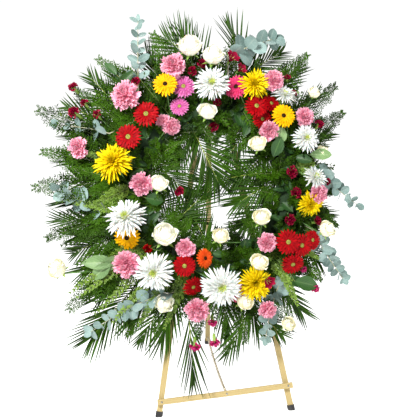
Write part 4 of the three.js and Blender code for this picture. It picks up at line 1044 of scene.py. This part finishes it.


# Petals given a last argument here carry a painted glow: white, white rose, ivory and pink petals, and the lime
# florets further down.
PETALS = {
    "white": petal(
        "white_petals", (0.6, 0.66, 0.36), (0.7, 0.72, 0.68), (0.77, 0.78, 0.77), 0.3, 0.7, 0.1, 0.08, painted_glow=0.1
    ),
    "white_rose": petal(
        "white_rose_petals", (0.68, 0.7, 0.44), (0.76, 0.75, 0.62), (0.8, 0.79, 0.7),
        0.3, 0.7, 0.08, 0.05, painted_glow=0.22
    ),
    "ivory": petal(
        "ivory_rose_petals", (0.7, 0.69, 0.4), (0.77, 0.74, 0.54), (0.8, 0.78, 0.64),
        0.3, 0.7, 0.08, 0.06, painted_glow=0.22
    ),
    "yellow": petal(
        "yellow_petals", (0.58, 0.36, 0.0), (0.77, 0.57, 0.0), (0.84, 0.65, 0.005), 0.25, 0.6, 0.25, 0.16
    ),
    "golden": petal("golden_petals", (0.7, 0.26, 0.0), (0.86, 0.45, 0.0), (0.87, 0.5, 0.0), 0.3, 0.7, 0.25, 0.16),
    "red": petal("red_petals", (0.1, 0.0, 0.001), (0.36, 0.0, 0.003), (0.42, 0.0, 0.004), 0.35, 0.7, 0.35, 0.45),
    "pink": petal(
        "pink_petals", (0.66, 0.14, 0.24), (0.76, 0.27, 0.38), (0.88, 0.46, 0.56), 0.4, 0.7, 0.16, 0.2, painted_glow=0.1
    ),
    "rose_pink": petal(
        "rose_pink_petals", (0.36, 0.02, 0.17), (0.55, 0.1, 0.31), (0.68, 0.24, 0.47), 0.4, 0.6, 0.3, 0.25
    ),
    "hot_pink": petal(
        "hot_pink_petals", (0.36, 0.0, 0.05), (0.6, 0.03, 0.13), (0.7, 0.1, 0.22), 0.4, 0.7, 0.3, 0.2
    ),
    "orange_red": petal(
        "orange_red_petals", (0.55, 0.03, 0.0), (0.82, 0.09, 0.01), (0.86, 0.16, 0.015), 0.3, 0.7, 0.25, 0.15
    ),
    "magenta": petal(
        "magenta_petals", (0.35, 0.0, 0.08), (0.55, 0.01, 0.14), (0.68, 0.06, 0.24), 0.4, 0.6, 0.25, 0.25
    ),
    "burgundy": petal(
        "burgundy_petals", (0.1, 0.0, 0.01), (0.23, 0.0, 0.02), (0.33, 0.005, 0.04), 0.4, 0.6, 0.3, 0.35
    ),
}
HEARTS = {
    "ringed": petal(
        "ringed_florets", (0.1, 0.0, 0.004), (0.34, 0.34, 0.06), (0.62, 0.62, 0.26), 0.5, 0.7, glow=0.1
    ),
    "dark": petal("dark_florets", (0.01, 0.005, 0.002), (0.03, 0.012, 0.004), (0.1, 0.05, 0.012), glow=0.0),
    "yellow": petal("yellow_florets", (0.42, 0.28, 0.0), (0.74, 0.56, 0.0), (0.84, 0.68, 0.02), glow=0.3),
    "lime": petal("lime_florets", (0.52, 0.64, 0.08), (0.7, 0.78, 0.18), (0.8, 0.84, 0.36), glow=0.6, painted_glow=0.1),
}
CALYX_GREEN = leaf("calyx_green", (0.12, 0.24, 0.03), (0.3, 0.46, 0.08), (0.42, 0.55, 0.16), 0.3, 2.0, 0.0)
STEM_GREEN = leaf("stem_green", (0.05, 0.14, 0.025), (0.13, 0.27, 0.06), (0.2, 0.32, 0.1), 0.15, 3.0, 0.0)
PALM_LEAF = leaf(
    "palm_leaf", (0.002, 0.013, 0.001), (0.03, 0.092, 0.002), (0.09, 0.15, 0.012), 0.3, 1.0, 0.55, gloss=0.12
)
PALM_RIB = leaf("palm_rib", (0.12, 0.19, 0.015), (0.27, 0.34, 0.04), (0.36, 0.4, 0.1), 0.2, 2.0, 0.0)
FERN_LEAF = leaf(
    "fern_leaf", (0.001, 0.006, 0.0005), (0.05, 0.135, 0.003), (0.11, 0.21, 0.015), 0.15, 1.0, 0.12, gloss=0.12
)
FERN_RIB = leaf("fern_rib", (0.06, 0.1, 0.02), (0.16, 0.22, 0.05), (0.2, 0.26, 0.08), 0.1, 2.0, 0.0)
LIME_LEAF = leaf("lime_leaf", (0.03, 0.09, 0.006), (0.2, 0.33, 0.03), (0.28, 0.38, 0.08), 0.15, 1.0, 0.1)
MYRTLE_LEAF = leaf("myrtle_leaf", (0.02, 0.05, 0.008), (0.13, 0.22, 0.03), (0.22, 0.29, 0.08), 0.35, 5.0, 0.15)
EUCALYPTUS_LEAF = leaf(
    "eucalyptus_leaf", (0.09, 0.16, 0.14), (0.3, 0.42, 0.39), (0.42, 0.5, 0.43), 0.3, 6.0, 0.04, 0.2, 0.25, 0.3
)
EUCALYPTUS_STEM = leaf("eucalyptus_stem", (0.2, 0.2, 0.1), (0.42, 0.42, 0.28), (0.5, 0.46, 0.34), 0.1, 2.0, 0.0)
PALE_LEAF = leaf(
    "pale_veined_leaf", (0.08, 0.16, 0.05), (0.22, 0.35, 0.14), (0.38, 0.5, 0.26), 0.5, 8.0, 0.05, 0.4, 0.3, 0.15
)
DARK_LEAF = leaf(
    "glossy_dark_leaf", (0.006, 0.035, 0.006), (0.03, 0.1, 0.016), (0.12, 0.22, 0.06), 0.45, 8.0, 0.08, 0.4, 0.35
)

# Blooms: the slot of each style's petals, and its heart where that isn't lime

STYLE_HEARTS = {
    "golden": "dark", "orange_red": "dark", "hot_pink": "dark", "red": "ringed", "rose_pink": "ringed",
    "yellow": "yellow",
}


def plant(name, root, heads):
    """All the heads of one bunch as one piece, each with its own petals, heart, calyx and stalk."""
    growth = Growth()
    styles = []
    for kind, style, *place in heads:
        if kind == "rose" and style == "white":
            style = "white_rose"
        if style not in styles:
            styles.append(style)
        growth.first = 4 * styles.index(style)
        bloom(growth, root, kind, *place)
    materials = []
    for style in styles:
        materials += [PETALS[style], HEARTS[STYLE_HEARTS.get(style, "lime")], CALYX_GREEN, STEM_GREEN]
    piece = growth.build(name + "_open", materials)
    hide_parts(name)


for bunch_name, (bunch_root, bunch_heads) in BUNCHES.items():
    plant(bunch_name, bunch_root, bunch_heads)

# Palm fronds: the foot and top of the trunk, then each frond (base, tip, reach, opened, closed)

FRONDS = {
    "palm_fronds_top": ((40, 286, 26), (42, 306, 28), [
        ((-15, 395, 30), (-186, 545, 28), 128, 1.05, 0.34),
        ((116, 396, 38), (58, 588, 34), 112, 0.34, 0.08),
        ((140, 385, 24), (285, 468, 22), 66, 0.7, 0.3),
        ((240, 318, 26), (335, 420, 24), 60, 0.65, 0.3),
    ]),
    "palm_fronds_left_high": ((-232, 178, 28), (-246, 190, 29), [
        ((-315, 285, 36), (-420, 410, 32), 56, 0.6, 0.3),
        ((-375, 240, 26), (-505, 296, 24), 60, 0.55, 0.3),
    ]),
    "palm_fronds_left_low": ((-275, -100, 28), (-292, -106, 29), [
        ((-360, -108, 36), (-560, -86, 32), 66, 0.5, 0.2),
        ((-370, -160, 26), (-500, -215, 22), 60, 0.6, 0.3),
    ]),
    "palm_fronds_lower_left": ((-215, -195, 28), (-229, -208, 29), [
        ((-262, -310, 30), (-474, -538, 26), 108, 0.7, 0.2),
        ((-305, -275, 20), (-465, -335, 16), 66, 0.6, 0.3),
        ((-195, -395, 40), (-280, -525, 36), 80, 0.5, 0.15),
    ]),
    "palm_fronds_bottom": ((-50, -284, 28), (-54, -304, 29), [
        ((-98, -430, 30), (-88, -690, 26), 114, 0.3, 0.08),
        ((100, -410, 38), (-5, -592, 34), 84, 0.4, 0.12),
        ((110, -400, 22), (240, -525, 18), 70, 0.6, 0.25),
    ]),
    "palm_frond_inner_high": ((-95, 240, 40), (-85, 225, 44), [
        ((-62, 188, 50), (48, -58, 40), 112, 0.85, 0.3),
    ]),
    "palm_frond_inner_right": ((236, 62, 30), (215, 56, 30), [
        ((184, 44, 30), (-130, 4, 20), 70, 1.1, 0.5),
    ]),
    "palm_frond_inner_low": ((-238, -2, 25), (-215, -12, 25), [
        ((-190, -30, 24), (-8, -150, 10), 62, 0.8, 0.4),
    ]),
}

for frond_name, (trunk_root, trunk_top, fronds) in FRONDS.items():
    frond_growth = Growth()
    frond_growth.sheets(*tube(bowed(trunk_root, trunk_top), 4.2, 6, 0.4), 1)
    for base, tip, reach, opened, closed in fronds:
        frond_growth.sheets(*tube(bowed(trunk_top, base, (0, 0, 5)), [3.4, 3.2, 3, 2.8, 2.5, 2.2], 6, 0.6), 1)
        palm(frond_growth, base, tip, reach, opened, closed)
    palm_piece = frond_growth.build(frond_name + "_leaflets", [PALM_LEAF, PALM_RIB])
    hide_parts(frond_name)

# More fronds behind and across the open middle, planted in the foam: (base, tip, reach, opened, closed)

PLANTING_RADIUS = 262
BACK_FRONDS = {
    "left": [
        ((-262, 60, 30), (-545, 120, 26), 62, 0.6, 0.2), ((-268, -40, 24), (-560, -20, 18), 66, 0.6, 0.2),
        ((-240, -130, 22), (-520, -150, 18), 66, 0.6, 0.2), ((-225, -160, 34), (-500, -290, 30), 70, 0.6, 0.2),
        ((-210, -185, 22), (-440, -400, 18), 74, 0.6, 0.2), ((-255, 120, 22), (-520, 210, 18), 62, 0.6, 0.2),
        ((-240, 130, 34), (-470, 280, 30), 84, 1.0, 0.45), ((-215, 175, 26), (-430, 360, 22), 84, 1.0, 0.45),
        ((-262, 85, 34), (-490, 165, 30), 84, 1.0, 0.45), ((-268, 10, 32), (-500, 50, 28), 84, 1.0, 0.45),
        ((-262, -70, 30), (-480, -80, 26), 84, 1.0, 0.45), ((-240, -120, 32), (-470, -210, 28), 84, 1.0, 0.45),
        ((-180, 215, 34), (-340, 400, 30), 84, 1.0, 0.45),
    ],
    "top": [
        ((-190, 205, 24), (-340, 430, 20), 66, 0.6, 0.2), ((-120, 255, 22), (-230, 505, 18), 74, 0.7, 0.2),
        ((-40, 285, 24), (-90, 582, 20), 96, 0.6, 0.16), ((90, 275, 22), (165, 520, 18), 80, 0.45, 0.15),
        ((160, 240, 22), (300, 410, 18), 64, 0.6, 0.2), ((215, 190, 22), (400, 330, 18), 60, 0.6, 0.2),
    ],
    "right": [
        ((262, 90, 22), (430, 190, 18), 56, 0.7, 0.3), ((270, -60, 22), (420, -130, 18), 56, 0.7, 0.3),
        ((230, -150, 22), (385, -300, 18), 60, 0.6, 0.3), ((215, 150, 32), (350, 270, 28), 74, 1.0, 0.45),
        ((255, 20, 32), (390, 30, 28), 74, 1.0, 0.45), ((250, -90, 32), (370, -190, 28), 74, 1.0, 0.45),
    ],
    "bottom": [
        ((-165, -225, 22), (-330, -500, 18), 84, 0.5, 0.15), ((-110, -255, 32), (-215, -570, 28), 96, 0.6, 0.15),
        ((10, -280, 24), (30, -560, 20), 80, 0.5, 0.15), ((140, -245, 24), (320, -480, 20), 72, 0.6, 0.2),
        ((60, -270, 34), (150, -545, 30), 76, 0.5, 0.15),
    ],
    "middle": [
        ((-205, 95, 30), (-40, -60, 32), 96, 0.75, 0.25), ((205, -40, 26), (40, -175, 22), 84, 0.8, 0.3),
        ((-165, -140, 34), (20, 20, 30), 92, 0.7, 0.25), ((-60, 215, 24), (-150, 30, 22), 84, 0.7, 0.3),
        ((190, 110, 22), (30, -20, 16), 84, 0.75, 0.3), ((120, 185, 30), (20, 60, 24), 66, 0.7, 0.3),
        ((210, 20, 38), (20, -90, 40), 84, 0.7, 0.25), ((-20, -215, 26), (-90, -40, 20), 80, 0.7, 0.3),
    ],
}

for side, fronds in BACK_FRONDS.items():
    frond_growth = Growth()
    for base, tip, reach, opened, closed in fronds:
        foot = np.array(base, float)
        foot[:2] *= PLANTING_RADIUS / np.linalg.norm(foot[:2])
        frond_growth.sheets(*tube(bowed(foot, base, (0, 0, 8)), 2.4, 6, 0.5), 1)
        palm(frond_growth, base, tip, reach, opened, closed)
    palm_piece = frond_growth.build("back_palms_" + side, [PALM_LEAF, PALM_RIB])

# Eucalyptus: each twig's foot and knee, its leafy sprig's base and tip, pairs, leaf size and slimness

SPRIGS = {
    "eucalyptus_top_left": [
        ((-232, 185, 30), (-240, 230, 64), (-236, 345, 68), (-229, 555, 58), 8, 44, 0.6),
        ((-232, 185, 30), (-240, 228, 63), (-335, 182, 68), (-505, 216, 62), 6, 42, 0.75),
    ],
    "eucalyptus_top": [((60, 262, 30), (60, 300, 66), (62, 430, 72), (228, 486, 60), 8, 54, 0.95)],
    "eucalyptus_left": [((-262, -62, 30), (-300, -70, 64), (-330, -84, 66), (-508, 8, 60), 8, 54, 0.85)],
    "eucalyptus_lower_left": [
        ((-128, -240, 30), (-138, -290, 68), (-142, -340, 74), (-415, -456, 58), 11, 48, 0.9),
    ],
    "eucalyptus_right": [((278, 52, 30), (326, 70, 62), (322, 66, 60), (475, -78, 54), 10, 44, 1.0)],
    "eucalyptus_lower_right": [
        ((268, -120, 30), (322, -158, 62), (316, -154, 60), (414, -320, 56), 9, 40, 1.0),
        ((272, -124, 34), (212, -300, 74), (213, -294, 74), (146, -502, 72), 10, 42, 0.9),
    ],
}

for sprig_name, sprigs in SPRIGS.items():
    sprig_growth = Growth()
    for foot, knee, sprig_base, sprig_tip, pairs, leaf_size, slim in sprigs:
        sprig_growth.sheets(*tube([foot, knee, sprig_base], 2.2, 6, 0.8), 1)
        middle = (np.array(sprig_base) + np.array(sprig_tip)) / 2 + chance.normal(0, 7, 3)
        eucalyptus(sprig_growth, [sprig_base, middle, sprig_tip], pairs, leaf_size, slim)
    sprig_piece = sprig_growth.build(sprig_name + "_leaves", [EUCALYPTUS_LEAF, EUCALYPTUS_STEM])
    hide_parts(sprig_name)

# Garlands along an arc of the ring: its first and last degree, the tips of its fern sprays
# (degrees, x, y, out), and its broad leaves (degrees, x, y, out, length, width, turn)

GARLANDS = {
    "cedar_garland_left": (100, 196, [
        (104, -180, 510, 50), (124, -360, 430, 50), (144, -440, 330, 52), (156, -560, 268, 52),
        (165, -552, 130, 52), (175, -580, 16, 50), (183, -205, 40, 68), (192, -545, -150, 50),
    ], [(122, -300, 370, 74, 55, 24, 2.3)]),
    "cedar_garland_lower_left": (203, 262, [
        (212, -480, -380, 48), (226, -205, -110, 66), (240, -300, -470, 46), (256, -70, -490, 50),
    ], [(206, -385, -236, 92, 112, 50, 3.1), (210, -345, -242, 94, 62, 42, 4)]),
    "cedar_garland_lower_right": (278, 334, [
        (282, 78, -510, 48), (292, 60, -205, 66), (302, 232, -475, 48), (320, 340, -320, 46),
    ], [(312, 252, -322, 74, 70, 38, -0.1)]),
    "cedar_garland_right": (-22, 84, [
        (-14, 404, -145, 52), (-4, 412, -30, 46), (6, 205, 10, 66), (22, 440, 232, 48), (38, 420, 322, 48),
        (58, 330, 430, 46), (80, 95, 500, 48),
    ], [(14, 350, 88, 104, 72, 40, 3.05), (41, 222, 152, 96, 62, 42, -1.8)]),
}
GARLAND_RADIUS = 300
GARLAND_OUT = 48
PALE_GARLANDS = ("cedar_garland_lower_left", "cedar_garland_right")

for garland_name, (from_degrees, to_degrees, tips, leaves) in GARLANDS.items():
    garland_growth = Growth()
    arc = [on_ring(d, GARLAND_RADIUS, GARLAND_OUT) for d in np.linspace(from_degrees, to_degrees, 24)]
    garland_growth.sheets(*tube(arc, 2.6, 6, 0.2), 1)
    for degrees, x, y, out in tips:
        base = on_ring(degrees, GARLAND_RADIUS - 10, GARLAND_OUT)
        reach = max(38.0, 0.3 * math.dist(base, (x, y, out)))
        feather(garland_growth, base, (x, y, out), reach, pairs=19)
    for degrees, x, y, out, length, width, turn in leaves:
        middle = np.array([x, y, out], float)
        ahead = np.array([math.cos(turn), math.sin(turn), 0])
        leaf_base = middle - ahead * length / 2
        garland_growth.sheets(*tube(bowed(on_ring(degrees, GARLAND_RADIUS, GARLAND_OUT), leaf_base), 1.2, 5), 1)
        broad_leaf(garland_growth, leaf_base, middle + ahead * length / 2, width, look=2)
    leaf_look = PALE_LEAF if garland_name in PALE_GARLANDS else DARK_LEAF
    garland_piece = garland_growth.build(garland_name + "_ferns", [FERN_LEAF, FERN_RIB, leaf_look])
    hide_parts(garland_name)

# Fern and myrtle sprays between and behind the blooms; the rim is how far out they reach at each degree

RIM_DEGREES = [0, 30, 45, 75, 90, 110, 145, 155, 167, 180, 205, 220, 235, 250, 300, 320, 340, 360]
RIM_RADIUS = [400, 430, 470, 500, 490, 520, 540, 600, 570, 560, 540, 590, 560, 500, 500, 440, 420, 400]
SECTORS = {
    "right": (-30, 30), "upper_right": (30, 80), "top": (80, 125), "left_high": (125, 165), "left": (165, 200),
    "left_low": (200, 240), "bottom": (240, 290), "lower_right": (290, 330),
}
RIM_LEFT, RIM_RIGHT = -565, 470
FERN_SHADES = [0.1, 0.25, 0.45, 0.75, 0.95]

# Layers of sprays: degrees past each step, for the outer ones the least and most of the rim, and out
OUTER_STEP, INNER_STEP, TWIG_STEP = 6.0, 8.0, 15.0
OUTER_LAYERS = [(0.0, 0.86, 1.0, 44), (2.0, 0.72, 0.88, 30), (4.0, 0.62, 0.86, 62)]
FACE_LAYERS = [(0.0, 84), (3.0, 74), (5.5, 78)]
INNER_OUT = 52


def rim(degrees):
    """The rim's distance from the middle at degrees round the ring."""
    return float(np.interp(degrees % 360, RIM_DEGREES, RIM_RADIUS))


def outer_spray(growth, degrees, low, high, out):
    """A spray from the foam's outer edge towards the rim."""
    base = on_ring(degrees, chance.uniform(235, 300), out - 8)
    aim = degrees + chance.uniform(-9, 9)
    tip = on_ring(aim, rim(aim) * chance.uniform(low, high), out + chance.uniform(-6, 8))
    tip[0] = np.clip(tip[0], RIM_LEFT, RIM_RIGHT)
    reach = chance.uniform(34, 56)
    feather(growth, base, tip, reach, pairs=17, tint=chance.choice(FERN_SHADES))


def inner_spray(growth, degrees, out):
    """A spray from the foam's inner edge into the open middle."""
    base = on_ring(degrees, chance.uniform(215, 235), out - 8)
    tip = on_ring(degrees + chance.uniform(-16, 16), chance.uniform(125, 190), out + chance.uniform(-8, 10))
    feather(growth, base, tip, chance.uniform(26, 40), pairs=12, tint=chance.choice(FERN_SHADES))


def face_spray(growth, degrees, out):
    """A short spray that stands up between the blooms."""
    base = on_ring(degrees, chance.uniform(205, 330), out - 40)
    tip = base + np.append(chance.normal(0, 44, 2), 46)
    feather(growth, base, tip, chance.uniform(26, 38), pairs=11, opened=1.1, closed=0.6,
            tint=chance.choice(FERN_SHADES), lift=0.25)


for sector, (from_degrees, to_degrees) in SECTORS.items():
    sector_growth = Growth()
    for degrees in np.arange(from_degrees, to_degrees, OUTER_STEP):
        for past, low, high, out in OUTER_LAYERS:
            outer_spray(sector_growth, degrees + past, low, high, out)
    for degrees in np.arange(from_degrees, to_degrees, INNER_STEP):
        inner_spray(sector_growth, degrees, INNER_OUT)
        for past, out in FACE_LAYERS:
            face_spray(sector_growth, degrees + past, out)
    sector_growth.first = 3
    for degrees in np.arange(from_degrees, to_degrees, TWIG_STEP):
        twig_base = on_ring(degrees, 270, 50)
        twig_tip = on_ring(degrees + chance.uniform(-8, 8), rim(degrees) * chance.uniform(0.8, 0.97), 66)
        myrtle(sector_growth, twig_base, twig_tip, chance.uniform(15, 24), 11)
    spray_looks = [FERN_LEAF, FERN_RIB, PALE_LEAF, MYRTLE_LEAF, STEM_GREEN]
    spray_piece = sector_growth.build("fern_sprays_" + sector, spray_looks)

# Lime sprays (degrees, tip), mostly low on the left, single leaves (degrees, base, tip, width, look),
# and small dark leaves tucked in all round the ring

LIME_TIPS = [
    (218, (-420, -300)), (224, (-455, -345)), (228, (-400, -400)), (236, (-345, -430)), (244, (-265, -440)),
    (214, (-480, -330)), (250, (-180, -455)), (196, (-470, -40)), (160, (-430, 120)), (310, (255, -400)),
    (320, (330, -250)), (60, (290, 300)), (10, (330, 60)), (178, (-410, -60)),
]
PALE, DARK = 2, 3
SINGLE_LEAVES = [
    (206, (-345, -240, 96), (-412, -292, 84), 46, PALE), (30, (222, 148, 100), (196, 84, 92), 44, DARK),
    (12, (322, 68, 92), (266, 86, 84), 34, DARK), (312, (248, -322, 84), (330, -340, 78), 52, DARK),
    (128, (-305, 372, 84), (-345, 420, 74), 30, DARK), (120, (-250, 382, 88), (-318, 320, 84), 34, DARK),
    (165, (-230, 60, 92), (-285, 10, 84), 34, DARK), (182, (-225, -35, 96), (-165, -45, 84), 44, DARK),
    (60, (165, 150, 84), (205, 205, 78), 36, DARK), (290, (95, -292, 92), (60, -340, 84), 34, DARK),
]
TUCKED_STEP = 6.5

leaf_growth = Growth()
for degrees, (x, y) in LIME_TIPS:
    lime_base = on_ring(degrees, 265, 62)
    feather(leaf_growth, lime_base, (x, y, 74), 34, pairs=19, tint=chance.uniform(0.5, 1.0))
for degrees, leaf_base, leaf_tip, width, kind in SINGLE_LEAVES:
    leaf_growth.sheets(*tube(bowed(on_ring(degrees, 280, 56), leaf_base), 1.3, 5), 1)
    broad_leaf(leaf_growth, leaf_base, leaf_tip, width, look=kind, tint=chance.uniform(0.2, 0.8))
for degrees in np.arange(0, 360, TUCKED_STEP):
    tuck_base = on_ring(degrees, chance.uniform(205, 300), 60)
    tuck_tip = on_ring(degrees + chance.uniform(-14, 14), chance.uniform(190, 330), chance.uniform(68, 80))
    tuck_width = chance.uniform(22, 34)
    broad_leaf(leaf_growth, tuck_base, tuck_tip, tuck_width, look=DARK, tint=chance.uniform(0, 0.5))
leaf_piece = leaf_growth.build("lime_sprays_and_leaves", [LIME_LEAF, FERN_RIB, PALE_LEAF, DARK_LEAF])

# Easel, tray and foam keep their solids, with worn edges and their own finishes; the tray's and the foam's greens
# are darkened as painted shade


def finish_solid(name, material, edge):
    """Gives a solid its material and softens its edges by edge, in metres."""
    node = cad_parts[name]
    node.data.materials.clear()
    node.data.materials.append(material)
    bevel = node.modifiers.new("worn_edge", "BEVEL")
    bevel.width = edge
    bevel.segments = 2
    bevel.limit_method = "ANGLE"
    bevel.angle_limit = math.radians(35)
    bevel.harden_normals = True


def leg_course(name):
    """The direction in which a leg's wood runs, from its longest reach."""
    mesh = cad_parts[name].data
    points = np.empty(len(mesh.vertices) * 3)
    mesh.vertices.foreach_get("co", points)
    points = points.reshape(-1, 3)
    return np.linalg.svd(points - points.mean(0))[2][0]


WARMTHS = {
    "front_leg_left": 0.24, "front_leg_right": 0.2, "rear_leg": 0.17, "crossbar": 0.22, "head_block": 0.18,
}
for wooden, warmth in WARMTHS.items():
    finish_solid(wooden, wood(wooden + "_pine", leg_course(wooden), warmth), 0.0014)

BLACK_RUBBER = worn("black_rubber", (0.012, 0.012, 0.013), (0.12, 0.11, 0.1), 0.35, 90, 0.62)
BRIGHT_STEEL = worn("zinc_plated_steel", (0.62, 0.62, 0.6), (0.35, 0.32, 0.28), 0.35, 150, 0.3, Metallic=1.0)
PALE_BRASS = worn("pale_brass", (0.78, 0.7, 0.54), (0.42, 0.33, 0.2), 0.3, 220, 0.4, Metallic=1.0)
# Painted shade: the tray's and the foam's greens are darkened to stand in for the shadow they lie in under the
# greens and blooms.
TRAY_GREEN_PAINTED_SHADE = worn("tray_green_painted_shade", (0.004, 0.04, 0.022), (0.03, 0.06, 0.035), 0.3, 60, 0.5)
STRAP_GREEN = worn("strap_green", (0.01, 0.07, 0.035), (0.06, 0.11, 0.07), 0.3, 60, 0.5)
WET_FOAM_PAINTED_SHADE = worn("wet_foam_painted_shade", (0.009, 0.03, 0.007), (0.025, 0.06, 0.016), 0.6, 300, 0.9, 0.6)

for tip_name in ("foot_tip_left", "foot_tip_right", "foot_tip_rear"):
    finish_solid(tip_name, BLACK_RUBBER, 0.0012)
for steel_name in (
    "crossbar_screw_left", "crossbar_screw_middle", "crossbar_screw_right", "hinge_front_leaf", "hinge_rear_leaf",
):
    finish_solid(steel_name, BRIGHT_STEEL, 0.0003)
finish_solid("ring_tray", TRAY_GREEN_PAINTED_SHADE, 0.0006)
finish_solid("hanging_strap", STRAP_GREEN, 0.0004)
finish_solid("foam_ring", WET_FOAM_PAINTED_SHADE, 0.002)

# Chain of small oval links between the crossbar and the rear leg

CHAIN_START = np.array([69.5, -332.0, 64.0])
CHAIN_END = np.array([64.5, 366.0, 32.5])
CHAIN_DROP = 16
LINK_LENGTH = 13.0
LINK_WIDTH = 8.0
LINK_WIRE = 1.2
LINK_OVERLAP = 2.2


def link(centre, ahead, up):
    """One oval link of bent wire lying in the plane of ahead and up; LINK_WIRE is the wire's radius."""
    angle = np.linspace(0, 2 * math.pi, 15)
    reach = (LINK_LENGTH - LINK_WIDTH) / 2
    along = LINK_WIDTH / 2 * np.cos(angle) + np.sign(np.round(np.cos(angle), 3)) * reach
    across = LINK_WIDTH / 2 * np.sin(angle)
    return tube(centre + along[:, None] * ahead + across[:, None] * up, LINK_WIRE, 5)


chain_growth = Growth()
chain_span = np.linspace(0, 1, 400)[:, None]
chain_course = CHAIN_START + (CHAIN_END - CHAIN_START) * chain_span
chain_course = chain_course - np.array([0, 0, CHAIN_DROP]) * 4 * chain_span * (1 - chain_span)
walked = np.concatenate([[0], np.cumsum(np.linalg.norm(np.diff(chain_course, axis=0), axis=1))])
link_count = int(walked[-1] / (LINK_LENGTH - LINK_OVERLAP * LINK_WIRE))
for number, distance in enumerate(np.linspace(LINK_LENGTH / 2, walked[-1] - LINK_LENGTH / 2, link_count)):
    middle, ahead = on_path(chain_course, distance, walked)
    across = unit(np.cross(ahead, [0, 0, 1]))
    up = np.cross(across, ahead)
    tilt = math.pi / 4 + (number % 2) * math.pi / 2
    chain_growth.sheets(*link(middle, ahead, across * math.cos(tilt) + up * math.sin(tilt)))
chain_piece = chain_growth.build("chain_links", [PALE_BRASS], body=None, place=lambda points: points / 1000)
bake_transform(chain_piece)
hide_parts("chain")

# Floor and light: the backdrop is bright to the camera and dim as a light, lamps are in metres and watts

AMBIENT = 0.17
BACKDROP = 1.05
FLOOR_GLOW = 1.0
FLOOR_REACH = 9
LAMPS = [
    ("key_light", (-1.5, -2.4, 2.9), (0, -0.1, 0.75), 1.0, 185),
    ("fill_light", (2.4, -2.4, 1.2), (0, -0.1, 0.7), 2.0, 40),
    ("top_light", (0.4, 0.9, 3.0), (0, 0, 0.7), 1.6, 50),
]

floor_mesh = bpy.data.meshes.new("studio_floor")
floor_corners = [(x * FLOOR_REACH, y * FLOOR_REACH, 0) for x, y in ((-1, -1), (1, -1), (1, 1), (-1, 1))]
floor_mesh.from_pydata(floor_corners, [], [(0, 1, 2, 3)])
floor = bpy.data.objects.new("studio_floor", floor_mesh)
bpy.context.scene.collection.objects.link(floor)
floor_white = bpy.data.materials.new("floor_white")
floor_white.use_nodes = True
floor_shader = floor_white.node_tree.nodes["Principled BSDF"]
floor_shader.inputs["Base Color"].default_value = colour(0.55, 0.55, 0.55)
floor_shader.inputs["Roughness"].default_value = 0.9
floor_shader.inputs["Emission Color"].default_value = colour(1, 1, 1)
floor_shader.inputs["Emission Strength"].default_value = FLOOR_GLOW
floor_mesh.materials.append(floor_white)

world = bpy.data.worlds.new("white_studio")
bpy.context.scene.world = world
world.use_nodes = True
world_wiring = Wiring(world.node_tree)
backdrop = world.node_tree.nodes["Background"]
backdrop.inputs["Color"].default_value = colour(1, 1, 1)
seen = world_wiring.node("ShaderNodeLightPath").outputs["Is Camera Ray"]
world_wiring.join(world_wiring.ramp(seen, 0.0, 1.0, AMBIENT, BACKDROP), backdrop.inputs["Strength"])
bpy.context.scene.view_settings.view_transform = "Standard"


def soft_light(name, place, target, size, power):
    """A round area lamp at place, turned to target."""
    data = bpy.data.lights.new(name, "AREA")
    data.shape = "DISK"
    data.size = size
    data.energy = power
    lamp = bpy.data.objects.new(name, data)
    bpy.context.scene.collection.objects.link(lamp)
    back = unit(np.array(place, float) - np.array(target, float))
    lamp.matrix_world = Matrix.Translation(place) @ Matrix(turn_to(back).tolist()).to_4x4()


for lamp in LAMPS:
    soft_light(*lamp)
